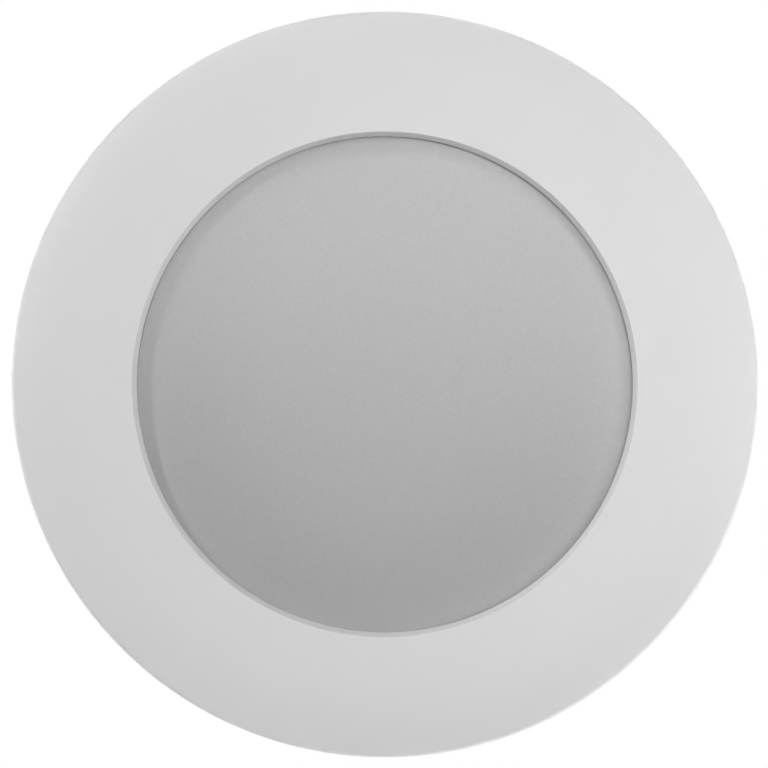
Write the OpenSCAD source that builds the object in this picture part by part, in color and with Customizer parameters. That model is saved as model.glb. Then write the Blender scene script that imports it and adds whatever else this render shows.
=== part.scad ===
// Soffit downlight: a round trim ring with a set-back frosted lens, a finned driver housing
// behind it, and two sprung clip arms that grip the soffit from above.
// +Z is up as fitted, the light shines down. Z 0 is the soffit's underside, on the light's axis.

/* [Trim ring] */
// How far the ring's flange reaches beyond the collar
flange_w = 11; // [10:0.1:15]
// How far the face stands below the soffit
trim_h = 4.2; // [3.9:0.1:5.5]
// Width of the lip that the lens seats on
lip_w = 2.3; // [2:0.1:4.7]
// Rounding of the opening's rim
rim_round = 0.55; // [0.3:0.05:0.9]
// Width of the flat band round the opening
flat_w = 5.8; // [4:0.1:7]
// How far the crowned face falls back at its outer edge
crown_drop = 1.25; // [0.7:0.05:1.4]
// Rounding of the ring's outer edge
edge_round = 0.7; // [0.4:0.1:1]
// Thickness of the lip that holds the lens
lip_t = 1.6; // [1.3:0.1:2]

/* [Collar] */
// Outside diameter of the collar that enters the soffit
collar_d = 68; // [62:0.5:74]
// Wall of the collar
collar_wall = 1.8; // [1.5:0.1:2]
// Lead-in chamfer at the collar's top
collar_chamfer = 0.5; // [0.3:0.1:0.8]

/* [Soffit gasket] */
// Width of the land between the collar and the gasket's groove
groove_land = 3; // [2.6:0.1:3.4]
// Width of the soffit gasket
gasket_w = 5; // [4:0.1:5.4]
// Thickness of the soffit gasket
gasket_t = 2; // [1.6:0.1:2.2]
// How far the gasket stands out of its groove
gasket_proud = 0.7; // [0.4:0.1:1]

/* [Lens] */
// Thickness of the lens
lens_t = 3; // [2:0.1:4]
// Thickness of the lens gasket in front of and behind the lens
seal_leg = 0.8; // [0.6:0.1:1]
// Thickness of the lens gasket round the lens's edge
seal_web = 0.7; // [0.5:0.1:0.9]
// Width of the lens gasket's legs over the lens
seal_lap = 1.15; // [0.9:0.05:1.3]

/* [Light engine] */
// Depth of the mixing chamber between the lens gasket and the LED board
chamber_h = 7.7; // [7:0.1:9.5]
// Wall of the mixing reflector
reflector_t = 1.2; // [1:0.1:1.5]
// Diameter of the LED board
led_board_d = 44; // [43:0.5:47]
// Thickness of the LED board
led_board_t = 1.6; // [1:0.1:2]
// Thickness of the thermal pad
pad_t = 0.5; // [0.3:0.1:1]
// Side of one LED
led_side = 3; // [2:0.1:3.5]
// Height of one LED
led_h = 0.7; // [0.5:0.1:1]
// Radius of the inner circle of LEDs
led_inner_r = 5.5; // [5:0.1:5.8]
// Radius of the outer circle of LEDs
led_outer_r = 17; // [16.4:0.1:17.4]
// Gap between the outer LEDs and the mixing reflector
led_gap = 1; // [0.6:0.1:2]
// Number of LEDs on the outer circle
led_outer_count = 14; // [10:1:18]

/* [Heat sink] */
// Thickness of the heat sink's floor
floor_t = 3.5; // [3.3:0.1:4.5]
// How far the floor and the fins stay inside the collar's outside
sink_inset = 0.2; // [0.1:0.05:1]
// Outside diameter of the driver's cup
cup_d = 43; // [42:0.2:44]
// Wall of the driver's cup
cup_wall = 2; // [1.8:0.1:2.2]
// Depth of the driver's cup
cup_h = 27.7; // [26.5:0.1:32]
// Height of the fins
fin_h = 25; // [24.6:0.1:26]
// Number of places for a fin round the cup
fin_places = 30; // [24:6:36]
// Thickness of a fin at its root
fin_root_t = 1.7; // [1.4:0.1:2]
// Thickness of a fin at its tip
fin_tip_t = 1.1; // [0.9:0.1:1.4]
// Rounding of the fins' shoulders
fin_shoulder = 9; // [4:0.5:10]

/* [Driver] */
// Height of the posts that carry the driver board
post_h = 6.7; // [6.5:0.1:8]
// Thickness of the driver board
driver_board_t = 1.6; // [1.2:0.1:2]

/* [Rear cover and cable gland] */
// Thickness of the rear cover
cover_t = 3; // [2.5:0.1:4]
// Height of the cover's boss round the gland
gland_boss_h = 3; // [2:0.1:5]
// Thread diameter of the cable gland
gland_thread_d = 16; // [14:0.5:17]
// Width across the flats of the gland's hexagons
gland_af = 20; // [19.4:0.2:22]
// Diameter of the cable that the gland's seal grips
cable_d = 6.2; // [5:0.1:7]

/* [Spring clips] */
// How far the face of a clip pad stays inside the collar's outside
clip_inset = 8.8; // [8.7:0.1:9.2]
// Height of the hinge pins above the heat sink's floor
pivot_h = 9.2; // [9:0.1:10]
// Height of the lower bracket screw above the hinge pin
screw_over_pin = 6.7; // [6.6:0.1:7]
// Thickness of the bracket's sheet
bracket_t = 1.2; // [1:0.1:1.3]
// Diameter of the hinge pin
pin_d = 2.5; // [2:0.1:2.6]
// Clearance of a clip arm on its pin
pin_clear = 0.05; // [0.03:0.01:0.1]
// Thickness of the clip arm's sheet
arm_t = 1; // [0.8:0.1:1.2]
// Length of a clip arm from its pin to the end of its sleeve
arm_len = 24.6; // [22:0.1:25.4]
// Angle of a clip arm below level when it is down on its stop
arm_drop = 58; // [56:0.5:60]
// Wall of the soft sleeve on the arm's tip
sleeve_t = 1; // [0.8:0.1:1.1]
// Length of the sleeve
sleeve_len = 10; // [8:0.1:11]

/* [Clip springs] */
// Wire diameter of the torsion spring
wire_d = 0.9; // [0.7:0.05:0.95]
// Mean coil diameter of the torsion spring
coil_d = 4.6; // [4.4:0.05:4.7]
// Full turns of the torsion spring, before its ends' part turn
coil_turns = 5; // [4:1:5]
// Gap between neighbouring turns
coil_gap = 0.5; // [0.45:0.01:0.55]

/* [Fasteners] */
// Thread diameter of the body, cover and bracket screws
screw_d = 3; // [2.5:0.1:3]
// Thread diameter of the screws on the two boards
small_screw_d = 2.5; // [2:0.1:2.6]

/* [Hidden] */
$fn = 96;

// Clearances
eps = 0.01;
snug = 0.05;            // parts that locate each other
soft_gap = 0.25;        // soft parts in their grooves
sheet_gap = 0.4;        // between the arm's flanges and the bracket's ears
spring_touch = 0.05;    // between a spring's leg and what it bears on
pin_press = 0.02;       // round the pin where its ends are riveted in the ears
thread_clear = 0.04;    // round a thread in its tapped hole
hole_clear = 0.2;       // round a screw or a bush in a plain hole
head_gap = 0.3;         // round a screw's head
drill_end = 0.4;        // from a screw's end to the end of its hole
through = 1;            // how far a cut runs past what it cuts

// Trim ring and collar
collar_r = collar_d / 2;
trim_r = collar_r + flange_w;
bore_r = collar_r - collar_wall;
aperture_r = bore_r - lip_w;
seat_z = -trim_h + lip_t;
back_z = -gasket_proud;
groove_z = -gasket_t;
crown_start_r = aperture_r + rim_round + flat_w;
crown_run = trim_r - crown_start_r;
crown_r = (crown_run * crown_run + crown_drop * crown_drop) / (2 * crown_drop);
crown_z = -trim_h + crown_r;
edge_run = crown_run - edge_round;
edge_turn = asin(edge_run / (crown_r - edge_round));
edge_z = crown_z - (crown_r - edge_round) * cos(edge_turn);
groove_in_r = collar_r + groove_land;
groove_out_r = groove_in_r + gasket_w + 2 * soft_gap;

// Lens and its gasket
seal_out_r = bore_r - soft_gap;
lens_r = seal_out_r - seal_web - snug;
lens_z = seat_z + seal_leg;
seal_top_z = lens_z + lens_t + seal_leg;
seal_in_r = lens_r - seal_lap;
lens_bevel = 0.3;

// Light engine, upwards from the lens
led_board_r = led_board_d / 2;
reflector_z = seal_top_z;
led_z = reflector_z + chamber_h;
pad_z = led_z + led_board_t;
sink_z = pad_z + pad_t;
reflector_shy = 0.5;
reflector_in_r = min(aperture_r, seal_in_r) - reflector_shy;
reflector_top_r = norm([led_outer_r + led_side / 2, led_side / 2]) + led_gap;
reflector_flange_t = 1.2;
led_between_r = (led_inner_r + led_outer_r) / 2;
led_screw_angles = [60, 180, 300];
led_screw_grip = 2.2;
pad_inset = 1;

// Wires to the LED board, and their grommet in the heat sink's floor
wire_x = led_between_r;
wire_r = 0.75;
wire_off_y = 1;
wire_bend_r = 1.6;
wire_low_z = led_z - wire_r - snug;
wire_end_x = led_inner_r + led_side / 2 + 0.8;
grommet_hole_r = 2.6;
grommet_wall = 0.6;
grommet_rim = 1;

// Body joint between the collar and the heat sink
body_gasket_t = 0.8;
collar_top_z = sink_z - body_gasket_t;
lug_h = 3.4;
boss_wall = 1.1;
lug_r = screw_d / 2 + boss_wall;
lug_inset = 2.3;
lug_pc_r = bore_r - lug_inset;
body_angles = [90, 210, 330];

// Screws
screw_head_r = screw_d * 0.9;
access_r = screw_head_r + head_gap;

// Heat sink
root = 1;               // how far a cast feature is rooted in the floor or the cup's wall
fin_to_clip = 1.4;
sink_r = collar_r - sink_inset;
cup_r = cup_d / 2;
cup_in_r = cup_r - cup_wall;
floor_z = sink_z + floor_t;
cup_top_z = floor_z + cup_h;
fin_top_z = floor_z + fin_h;
cover_boss_r = screw_d / 2 + boss_wall;
boss_in_wall = 0.4;
cover_pc_r = cup_in_r - cover_boss_r + boss_in_wall;
cover_angles = [30, 150, 270];
cover_screw_grip = 6;
post_wall = 1.3;
post_gap = 1.1;
post_r = small_screw_d / 2 + post_wall;
post_pc_r = cup_in_r - post_r - post_gap;
post_angles = [90, 210, 330];
post_screw_grip = 4.2;

// Driver
driver_z = floor_z + post_h;
parts_z = driver_z + driver_board_t;
board_gap = 0.6;
driver_board_r = cup_in_r - board_gap;
core_w = 12;
core_d = 6.6;
core_h = 11.5;
core_leg = 2.6;
winding_r = 5;
bobbin_foot = 1;
capacitor_r = 3.4;
capacitor_h = 14;
small_capacitor_r = 2.6;
small_capacitor_h = 9;
block_w = 15;
block_d = 7.4;
block_h = 10;
block_y = 6.5;
block_mouth = 3.6;
block_foot = 1.6;
block_screw_r = 1.7;
// each chip's near corner, then its size
chip_boxes = [
    [[3.7, -13.4], [4.9, 5, 1.7]],
    [[-9.8, -13.9], [5.6, 2.8, 6.5]],
    [[11.2, 1.6], [3.2, 2.4, 2]]
];

// Rear cover and gland
cover_gasket_t = 0.8;
cover_z = cup_top_z + cover_gasket_t;
cover_top_z = cover_z + cover_t;
cover_edge = 1;
screw_sink = 0.5;
gland_boss_edge = 0.6;
gland_z = cover_top_z + gland_boss_h;
gland_r = gland_thread_d / 2;
gland_hex_r = gland_af / 2 / cos(30);
gland_boss_r = gland_hex_r + 0.4;
gland_washer_t = 1.2;
gland_hex_h = 4;
gland_neck_r = gland_r - 0.6;
gland_neck_h = 6.5;
claw_h = 3.5;
claw_r = gland_neck_r - 0.5;
claw_count = 8;
claw_slot = 1;
seal_r = gland_neck_r - 1.8;
seal_ledge = 1.2;
seal_taper = 0.9;
seal_rise = 1.4;
gland_hex_z = gland_z + gland_washer_t;
neck_z = gland_hex_z + gland_hex_h;
claw_z = neck_z + gland_neck_h;
seal_z = neck_z + 1;
seal_top = claw_z + claw_h + seal_rise;
nut_z = neck_z + 0.8;
nut_hex_h = 7.2;
nut_chamfer = 0.8;
nut_top_t = 2;
nut_top_z = seal_top + nut_top_t;

// Spring clips, in the plane through the light's axis and the clip
spring_r = wire_d / 2;
coil_r = coil_d / 2;
coil_pitch = wire_d + coil_gap;
coil_to_plate = 0.45;
plate_to_pin = coil_r + spring_r + coil_to_plate;
clip_pad_x = collar_r - clip_inset;
pivot_x = clip_pad_x + bracket_t + plate_to_pin;
pivot_z = floor_z + pivot_h;
pin_r = pin_d / 2;
fixed_leg = 5.5;
root_clear = 3.65;
arm_start = coil_r + spring_r + root_clear;
fixed_reach = plate_to_pin - spring_r - spring_touch;
fixed_tilt = asin(fixed_reach / norm([coil_r, fixed_leg])) - atan2(coil_r, fixed_leg);
arm_reach = arm_t / 2 + spring_touch;
arm_tilt = asin((coil_r + spring_r) / norm([arm_start, arm_reach])) + atan2(arm_reach, arm_start);
leg_over = 1.6;
arm_leg = (arm_start + leg_over) / cos(arm_tilt) - coil_r * tan(arm_tilt);
coil_from = 180 + fixed_tilt;
coil_to = 270 - arm_drop + arm_tilt;
coil_sweep = coil_turns * 360 + coil_to - coil_from;
coil_len = coil_pitch * coil_sweep / 360;
coil_to_arm = 0.6;
arm_in_y = coil_len / 2 + spring_r + coil_to_arm;
arm_out_y = arm_in_y + arm_t;
ear_in_y = arm_out_y + sheet_gap;
ear_out_y = ear_in_y + bracket_t;
ear_r = plate_to_pin - 0.1;
flange_r = plate_to_pin - 0.25;
bend_r = 1.8;
upper_screw_rise = 2 * screw_head_r + head_gap;
bracket_screw_z = [pivot_z + screw_over_pin, pivot_z + screw_over_pin + upper_screw_rise];
bracket_top_z = bracket_screw_z[1] + screw_head_r + head_gap;
wall_left = 1.3;
bracket_screw_len = bracket_t + clip_pad_x - cup_in_r - wall_left;
tab_t = 1.1;
tab_w = 7;
tab_fillet = 0.8;
tab_below_pin = 6.7;
tab_z = pivot_z - tab_below_pin - tab_t;
tab_s = (pivot_z - tab_z - tab_t - arm_t / 2 * cos(arm_drop)) / sin(arm_drop);
tab_touch = 0.12;
tab_x = pivot_x - arm_t / 2 * sin(arm_drop) + tab_s * cos(arm_drop) - tab_touch;
pin_head_r = pin_r + 0.9;
pin_head_t = 1;
clip_half_w = ear_out_y + pin_head_t;
sleeve_w = arm_out_y;
tip_half_w = arm_out_y - sleeve_t - snug;
sleeve_start = arm_len - sleeve_len;
tip_round = 2;
flange_rise = 1.6;

function arc(c, r, a0, a1, n = 8) =
    [for (i = [0:n]) c + r * [cos(a0 + (a1 - a0) * i / n), sin(a0 + (a1 - a0) * i / n)]];

module ring(r_out, r_in, h) {
    rotate_extrude() translate([r_in, 0]) square([r_out - r_in, h]);
}

module at_angles(angles, r) {
    for (a = angles) rotate([0, 0, a]) translate([r, 0, 0]) children();
}

// A pan-head screw with a hexagon socket: its head stands on Z 0 and its shank hangs down.
module pan_screw(d, len) {
    head_r = d * 0.9;
    head_h = d * 0.55;
    difference() {
        union() {
            rotate_extrude() polygon(concat(
                [[0, 0], [head_r, 0]],
                arc([head_r - head_h * 0.55, head_h * 0.45], head_h * 0.55, 0, 90, 5),
                [[0, head_h]]
            ));
            translate([0, 0, -len]) cylinder(r = d / 2, h = len + eps);
        }
        translate([0, 0, head_h * 0.4]) cylinder(r = d * 0.42, h = head_h, $fn = 6);
    }
}

/* ---- Trim ring, lens and light engine ---- */

module lug_outline(grow = 0) {
    translate([lug_pc_r, 0]) circle(r = lug_r + grow);
    translate([lug_pc_r, -lug_r - grow])
        square([bore_r + collar_wall / 2 - lug_pc_r, 2 * (lug_r + grow)]);
}

module trim_ring() {
    color([0.90, 0.905, 0.91]) difference() {
        union() {
            rotate_extrude($fn = 180) polygon(concat(
                [[aperture_r, seat_z]],
                arc([aperture_r + rim_round, -trim_h + rim_round], rim_round, 180, 270, 6),
                arc([crown_start_r, crown_z], crown_r, 270, 270 + edge_turn, 12),
                arc([trim_r - edge_round, edge_z], edge_round, 270 + edge_turn, 360, 6),
                [
                    [trim_r, back_z],
                    [groove_out_r, back_z],
                    [groove_out_r, groove_z],
                    [groove_in_r, groove_z],
                    [groove_in_r, back_z],
                    [collar_r, back_z],
                    [collar_r, collar_top_z - collar_chamfer],
                    [collar_r - collar_chamfer, collar_top_z],
                    [bore_r, collar_top_z],
                    [bore_r, seat_z]
                ]
            ));
            for (a = body_angles)
                rotate([0, 0, a]) translate([0, 0, collar_top_z - lug_h])
                    linear_extrude(lug_h) lug_outline();
        }
        at_angles(body_angles, lug_pc_r)
            translate([0, 0, collar_top_z - lug_h - through])
                cylinder(r = screw_d / 2 + thread_clear, h = lug_h + 2 * through);
    }
}

module soffit_gasket() {
    color([0.20, 0.20, 0.21]) translate([0, 0, groove_z])
        ring(groove_out_r - soft_gap, groove_in_r + soft_gap, gasket_t);
}

module lens() {
    color([0.80, 0.81, 0.82]) rotate_extrude($fn = 180) polygon([
        [0, lens_z],
        [lens_r - lens_bevel, lens_z],
        [lens_r, lens_z + lens_bevel],
        [lens_r, lens_z + lens_t - lens_bevel],
        [lens_r - lens_bevel, lens_z + lens_t],
        [0, lens_z + lens_t]
    ]);
}

module lens_gasket() {
    color([0.55, 0.56, 0.57]) rotate_extrude() difference() {
        translate([seal_in_r, seat_z]) square([seal_out_r - seal_in_r, seal_top_z - seat_z]);
        translate([seal_in_r - through, lens_z])
            square([lens_r + snug - seal_in_r + through, lens_t]);
    }
}

module mixing_reflector() {
    slope = atan2(reflector_in_r - reflector_top_r, chamber_h);
    wall = reflector_t / cos(slope);
    color([0.96, 0.96, 0.95]) rotate_extrude() polygon([
        [reflector_in_r, reflector_z],
        [seal_out_r, reflector_z],
        [seal_out_r, reflector_z + reflector_flange_t],
        [reflector_in_r - reflector_flange_t * tan(slope) + wall, reflector_z + reflector_flange_t],
        [reflector_top_r + wall, led_z],
        [reflector_top_r, led_z]
    ]);
}

// A round sheet with the holes for its wires and its screws.
module led_sheet(r, t, wire_hole_r) {
    linear_extrude(t) difference() {
        circle(r = r);
        translate([wire_x, 0]) circle(r = wire_hole_r);
        for (a = led_screw_angles)
            rotate([0, 0, a]) translate([led_between_r, 0]) circle(r = small_screw_d / 2 + hole_clear);
    }
}

module led_board() {
    color([0.93, 0.94, 0.93]) translate([0, 0, led_z])
        led_sheet(led_board_r, led_board_t, grommet_hole_r - grommet_wall + hole_clear);
}

module led_chip() {
    translate([-led_side / 2, -led_side / 2, -led_h]) cube([led_side, led_side, led_h]);
}

module led_chips() {
    color([0.95, 0.85, 0.35]) translate([0, 0, led_z]) {
        led_chip();
        at_angles([for (i = [0:5]) i * 60], led_inner_r) led_chip();
        at_angles([for (i = [0:led_outer_count - 1]) i * 360 / led_outer_count], led_outer_r)
            led_chip();
    }
}

module led_board_screws() {
    color([0.78, 0.79, 0.80]) at_angles(led_screw_angles, led_between_r)
        translate([0, 0, led_z]) mirror([0, 0, 1])
            pan_screw(small_screw_d, led_board_t + pad_t + led_screw_grip);
}

module thermal_pad() {
    color([0.45, 0.58, 0.72]) translate([0, 0, pad_z])
        led_sheet(led_board_r - pad_inset, pad_t, grommet_hole_r + hole_clear);
}

/* ---- Heat sink and its joint to the trim ring ---- */

function fin_clears_clip(a) = abs(pivot_x * sin(a)) > clip_half_w + fin_to_clip;

// The space that the fins may fill: straight sides and round shoulders.
module fin_envelope() {
    shoulder_r = sink_r - fin_shoulder;
    rotate_extrude() polygon(concat(
        [[0, floor_z - root], [sink_r, floor_z - root]],
        arc([shoulder_r, fin_top_z - fin_shoulder], fin_shoulder, 0, 90, 8),
        [[0, fin_top_z]]
    ));
}

module fin() {
    root_r = cup_r - root;
    linear_extrude(fin_h + root) polygon([
        [root_r, -fin_root_t / 2],
        [sink_r + through, -fin_tip_t / 2],
        [sink_r + through, fin_tip_t / 2],
        [root_r, fin_root_t / 2]
    ]);
}

module fins() {
    step = 360 / fin_places;
    difference() {
        intersection() {
            union() for (i = [0:fin_places - 1])
                if (fin_clears_clip(i * step))
                    rotate([0, 0, i * step]) translate([0, 0, floor_z - root]) fin();
            fin_envelope();
        }
        // wells over the body screws, and room round the rear cover for fins taller than the cup
        at_angles(body_angles, lug_pc_r)
            translate([0, 0, floor_z]) cylinder(r = access_r, h = fin_h + through);
        translate([0, 0, cup_top_z]) cylinder(r = cup_r + hole_clear, h = fin_h);
    }
}

module clip_pad() {
    translate([cup_r - root, -ear_out_y, floor_z - root])
        cube([clip_pad_x - cup_r + root, 2 * ear_out_y, bracket_top_z - floor_z + root]);
}

module clip_pad_holes() {
    for (z = bracket_screw_z)
        translate([clip_pad_x + bracket_t - bracket_screw_len - drill_end, 0, z])
            rotate([0, 90, 0]) cylinder(r = screw_d / 2 + thread_clear, h = bracket_screw_len + through);
}

// The cup's wall with the bosses for the rear cover's screws cast into it.
module cup_outline(inset = 0) {
    difference() {
        circle(r = cup_r - inset);
        difference() {
            circle(r = cup_in_r);
            for (a = cover_angles) rotate([0, 0, a]) translate([cover_pc_r, 0]) circle(r = cover_boss_r);
        }
    }
}

module heat_sink() {
    color([0.66, 0.67, 0.69]) difference() {
        union() {
            translate([0, 0, sink_z]) cylinder(r = sink_r, h = floor_t);
            translate([0, 0, floor_z - root]) linear_extrude(cup_h + root) cup_outline();
            fins();
            on_side(1) clip_pad();
            on_side(-1) clip_pad();
            at_angles(post_angles, post_pc_r)
                translate([0, 0, floor_z - root]) cylinder(r = post_r, h = post_h + root);
        }
        on_side(1) clip_pad_holes();
        on_side(-1) clip_pad_holes();
        at_angles(body_angles, lug_pc_r) translate([0, 0, sink_z - through])
            cylinder(r = screw_d / 2 + hole_clear, h = floor_t + 2 * through);
        translate([wire_x, 0, sink_z - through])
            cylinder(r = grommet_hole_r, h = floor_t + 2 * through);
        at_angles(led_screw_angles, led_between_r) translate([0, 0, sink_z - through])
            cylinder(r = small_screw_d / 2 + thread_clear, h = led_screw_grip + drill_end + through);
        at_angles(cover_angles, cover_pc_r) translate([0, 0, cup_top_z - cover_screw_grip - drill_end])
            cylinder(r = screw_d / 2 + thread_clear, h = cover_screw_grip + drill_end + through);
        at_angles(post_angles, post_pc_r) translate([0, 0, driver_z - post_screw_grip - drill_end])
            cylinder(r = small_screw_d / 2 + thread_clear, h = post_screw_grip + drill_end + through);
    }
}

module body_gasket() {
    color([0.20, 0.20, 0.21]) translate([0, 0, collar_top_z]) linear_extrude(body_gasket_t)
        difference() {
            union() {
                difference() {
                    circle(r = collar_r - collar_chamfer);
                    circle(r = bore_r);
                }
                for (a = body_angles) rotate([0, 0, a]) lug_outline();
            }
            for (a = body_angles)
                rotate([0, 0, a]) translate([lug_pc_r, 0]) circle(r = screw_d / 2 + hole_clear);
        }
}

module body_screws() {
    color([0.78, 0.79, 0.80]) at_angles(body_angles, lug_pc_r)
        translate([0, 0, floor_z]) pan_screw(screw_d, floor_t + body_gasket_t + lug_h - drill_end);
}

/* ---- Wires and driver ---- */

module wire_grommet() {
    bore = grommet_hole_r - grommet_wall;
    color([0.15, 0.15, 0.16]) translate([wire_x, 0, sink_z]) rotate_extrude() polygon([
        [bore, 0],
        [grommet_hole_r - snug, 0],
        [grommet_hole_r - snug, floor_t],
        [grommet_hole_r + grommet_rim, floor_t],
        [grommet_hole_r + grommet_rim, floor_t + grommet_rim],
        [bore, floor_t + grommet_rim]
    ]);
}

// One lead from the driver board down through the grommet, turned inwards under the LED board.
module led_wire(y) {
    translate([wire_x, y, wire_low_z + wire_bend_r])
        cylinder(r = wire_r, h = driver_z - wire_low_z - wire_bend_r);
    translate([wire_x - wire_bend_r, y, wire_low_z + wire_bend_r]) rotate([90, 0, 0])
        rotate_extrude(angle = -90) translate([wire_bend_r, 0]) circle(r = wire_r);
    translate([wire_end_x, y, wire_low_z]) rotate([0, 90, 0])
        cylinder(r = wire_r, h = wire_x - wire_bend_r - wire_end_x);
}

module led_wire_red() {
    color([0.75, 0.10, 0.08]) led_wire(wire_off_y);
}

module led_wire_black() {
    color([0.08, 0.08, 0.09]) led_wire(-wire_off_y);
}

module driver_board() {
    color([0.12, 0.42, 0.22]) translate([0, 0, driver_z]) linear_extrude(driver_board_t) difference() {
        circle(r = driver_board_r);
        for (a = cover_angles)
            rotate([0, 0, a]) translate([cover_pc_r, 0]) circle(r = cover_boss_r + board_gap);
        for (a = post_angles)
            rotate([0, 0, a]) translate([post_pc_r, 0]) circle(r = small_screw_d / 2 + hole_clear);
    }
}

module driver_screws() {
    color([0.78, 0.79, 0.80]) at_angles(post_angles, post_pc_r)
        translate([0, 0, parts_z]) pan_screw(small_screw_d, driver_board_t + post_screw_grip);
}

// A ferrite core on its bobbin's foot, with the winding bulging out between the core's legs.
module driver_transformer() {
    window_h = core_h - 2 * core_leg;
    color([0.22, 0.22, 0.24]) translate([-3, -5.1, parts_z]) {
        difference() {
            translate([-core_w / 2, -core_d / 2, bobbin_foot]) cube([core_w, core_d, core_h]);
            translate([-core_w / 2 + core_leg, -core_d / 2 - through, bobbin_foot + core_leg])
                cube([core_w - 2 * core_leg, core_d + 2 * through, window_h]);
        }
        translate([0, 0, bobbin_foot + core_leg - eps]) cylinder(r = winding_r, h = window_h + 2 * eps);
        linear_extrude(bobbin_foot + eps)
            square([core_w - 2 * board_gap, 2 * winding_r + board_gap], center = true);
    }
}

// A can with the crimp round its foot and a rounded shoulder.
module capacitor(r, h) {
    crimp_z = 2;
    crimp = 0.35;
    shoulder = 0.5;
    rotate_extrude() polygon(concat(
        [[0, 0], [r, 0], [r, crimp_z - crimp], [r - crimp, crimp_z], [r, crimp_z + crimp]],
        arc([r - shoulder, h - shoulder], shoulder, 0, 90, 4),
        [[0, h]]
    ));
}

module driver_capacitors() {
    color([0.16, 0.18, 0.30]) {
        translate([7.8, -2.2, parts_z]) capacitor(capacitor_r, capacitor_h);
        translate([-12, 1.6, parts_z]) capacitor(small_capacitor_r, small_capacitor_h);
    }
}

module driver_chips() {
    color([0.10, 0.10, 0.11]) for (b = chip_boxes)
        translate([b[0].x, b[0].y, parts_z]) cube(b[1]);
}

// Three ways, each with its mouth for a wire and its well for a screwdriver.
module terminal_block() {
    color([0.25, 0.55, 0.35]) translate([0, block_y, parts_z]) difference() {
        translate([-block_w / 2, -block_d / 2, 0]) cube([block_w, block_d, block_h]);
        for (i = [-1:1]) translate([i * block_w / 3, 0, 0]) {
            translate([-block_mouth / 2, -block_d / 2 - through, block_foot])
                cube([block_mouth, block_mouth + through, block_mouth]);
            translate([0, block_screw_r / 3, block_h - block_mouth])
                cylinder(r = block_screw_r, h = block_mouth + through);
        }
    }
}

/* ---- Rear cover and cable gland ---- */

module rear_cover() {
    edge = gland_boss_edge;
    color([0.66, 0.67, 0.69]) difference() {
        rotate_extrude() polygon(concat(
            [[gland_r, cover_z], [cup_r, cover_z]],
            arc([cup_r - cover_edge, cover_top_z - cover_edge], cover_edge, 0, 90, 5),
            [[gland_boss_r + edge, cover_top_z], [gland_boss_r, cover_top_z + edge]],
            arc([gland_boss_r - edge, gland_z - edge], edge, 0, 90, 4),
            [[gland_r, gland_z]]
        ));
        at_angles(cover_angles, cover_pc_r) {
            translate([0, 0, cover_z - through])
                cylinder(r = screw_d / 2 + hole_clear, h = cover_t + 2 * through);
            translate([0, 0, cover_top_z - screw_sink])
                cylinder(r = screw_head_r + head_gap, h = gland_boss_h + screw_sink + through);
        }
    }
}

module rear_cover_gasket() {
    color([0.20, 0.20, 0.21]) translate([0, 0, cup_top_z]) linear_extrude(cover_gasket_t)
        difference() {
            cup_outline(hole_clear);
            for (a = cover_angles)
                rotate([0, 0, a]) translate([cover_pc_r, 0]) circle(r = screw_d / 2 + hole_clear);
        }
}

module rear_cover_screws() {
    color([0.78, 0.79, 0.80]) at_angles(cover_angles, cover_pc_r)
        translate([0, 0, cover_top_z - screw_sink])
            pan_screw(screw_d, cover_t - screw_sink + cover_gasket_t + cover_screw_grip);
}

module gland_body() {
    bore = seal_r - seal_ledge;
    color([0.13, 0.13, 0.14]) difference() {
        union() {
            translate([0, 0, cover_z + snug]) cylinder(r = gland_r - snug, h = gland_hex_z - cover_z);
            translate([0, 0, gland_hex_z]) cylinder(r = gland_hex_r, h = gland_hex_h, $fn = 6);
            translate([0, 0, neck_z - eps]) cylinder(r = gland_neck_r, h = gland_neck_h);
            translate([0, 0, claw_z - 2 * eps]) cylinder(r = claw_r, h = claw_h);
        }
        translate([0, 0, cover_z - through]) cylinder(r = bore, h = seal_z - cover_z + through);
        translate([0, 0, seal_z]) cylinder(r = seal_r + snug, h = claw_z + claw_h - seal_z);
        for (i = [0:claw_count / 2 - 1]) rotate([0, 0, i * 360 / claw_count])
            translate([-gland_r, -claw_slot / 2, claw_z + head_gap])
                cube([2 * gland_r, claw_slot, claw_h + through]);
    }
}

module gland_washer() {
    color([0.20, 0.20, 0.21]) translate([0, 0, gland_z])
        ring(gland_af / 2 - snug, gland_r + snug, gland_washer_t);
}

module gland_seal() {
    color([0.24, 0.24, 0.25]) rotate_extrude() polygon([
        [cable_d / 2, seal_z],
        [seal_r, seal_z],
        [seal_r, claw_z + claw_h],
        [seal_r - seal_taper, seal_top],
        [cable_d / 2, seal_top]
    ]);
}

module gland_nut() {
    dome_z = nut_z + nut_hex_h;
    dome_r = nut_top_z - dome_z;
    mouth_r = seal_r - 0.5;
    color([0.13, 0.13, 0.14]) difference() {
        intersection() {
            translate([0, 0, nut_z]) cylinder(r = gland_hex_r, h = nut_top_z - nut_z, $fn = 6);
            rotate_extrude() polygon(concat(
                [[0, nut_z], [gland_hex_r - nut_chamfer, nut_z], [gland_hex_r, nut_z + nut_chamfer]],
                [[gland_hex_r, dome_z]],
                arc([gland_hex_r - dome_r * cos(40), dome_z], dome_r, 40, 90, 6),
                [[0, nut_top_z]]
            ));
        }
        rotate_extrude() polygon([
            [0, nut_z - through],
            [gland_neck_r + snug, nut_z - through],
            [gland_neck_r + snug, claw_z + claw_h],
            [mouth_r, seal_top + snug],
            [mouth_r, nut_top_z + through],
            [0, nut_top_z + through]
        ]);
    }
}

/* ---- Spring clips ---- */

// The clips are made on the +X side; the left one is the same, turned half round the axis.
module on_side(side) {
    rotate([0, 0, side > 0 ? 0 : 180]) children();
}

module at_pivot() {
    translate([pivot_x, 0, pivot_z]) children();
}

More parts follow.
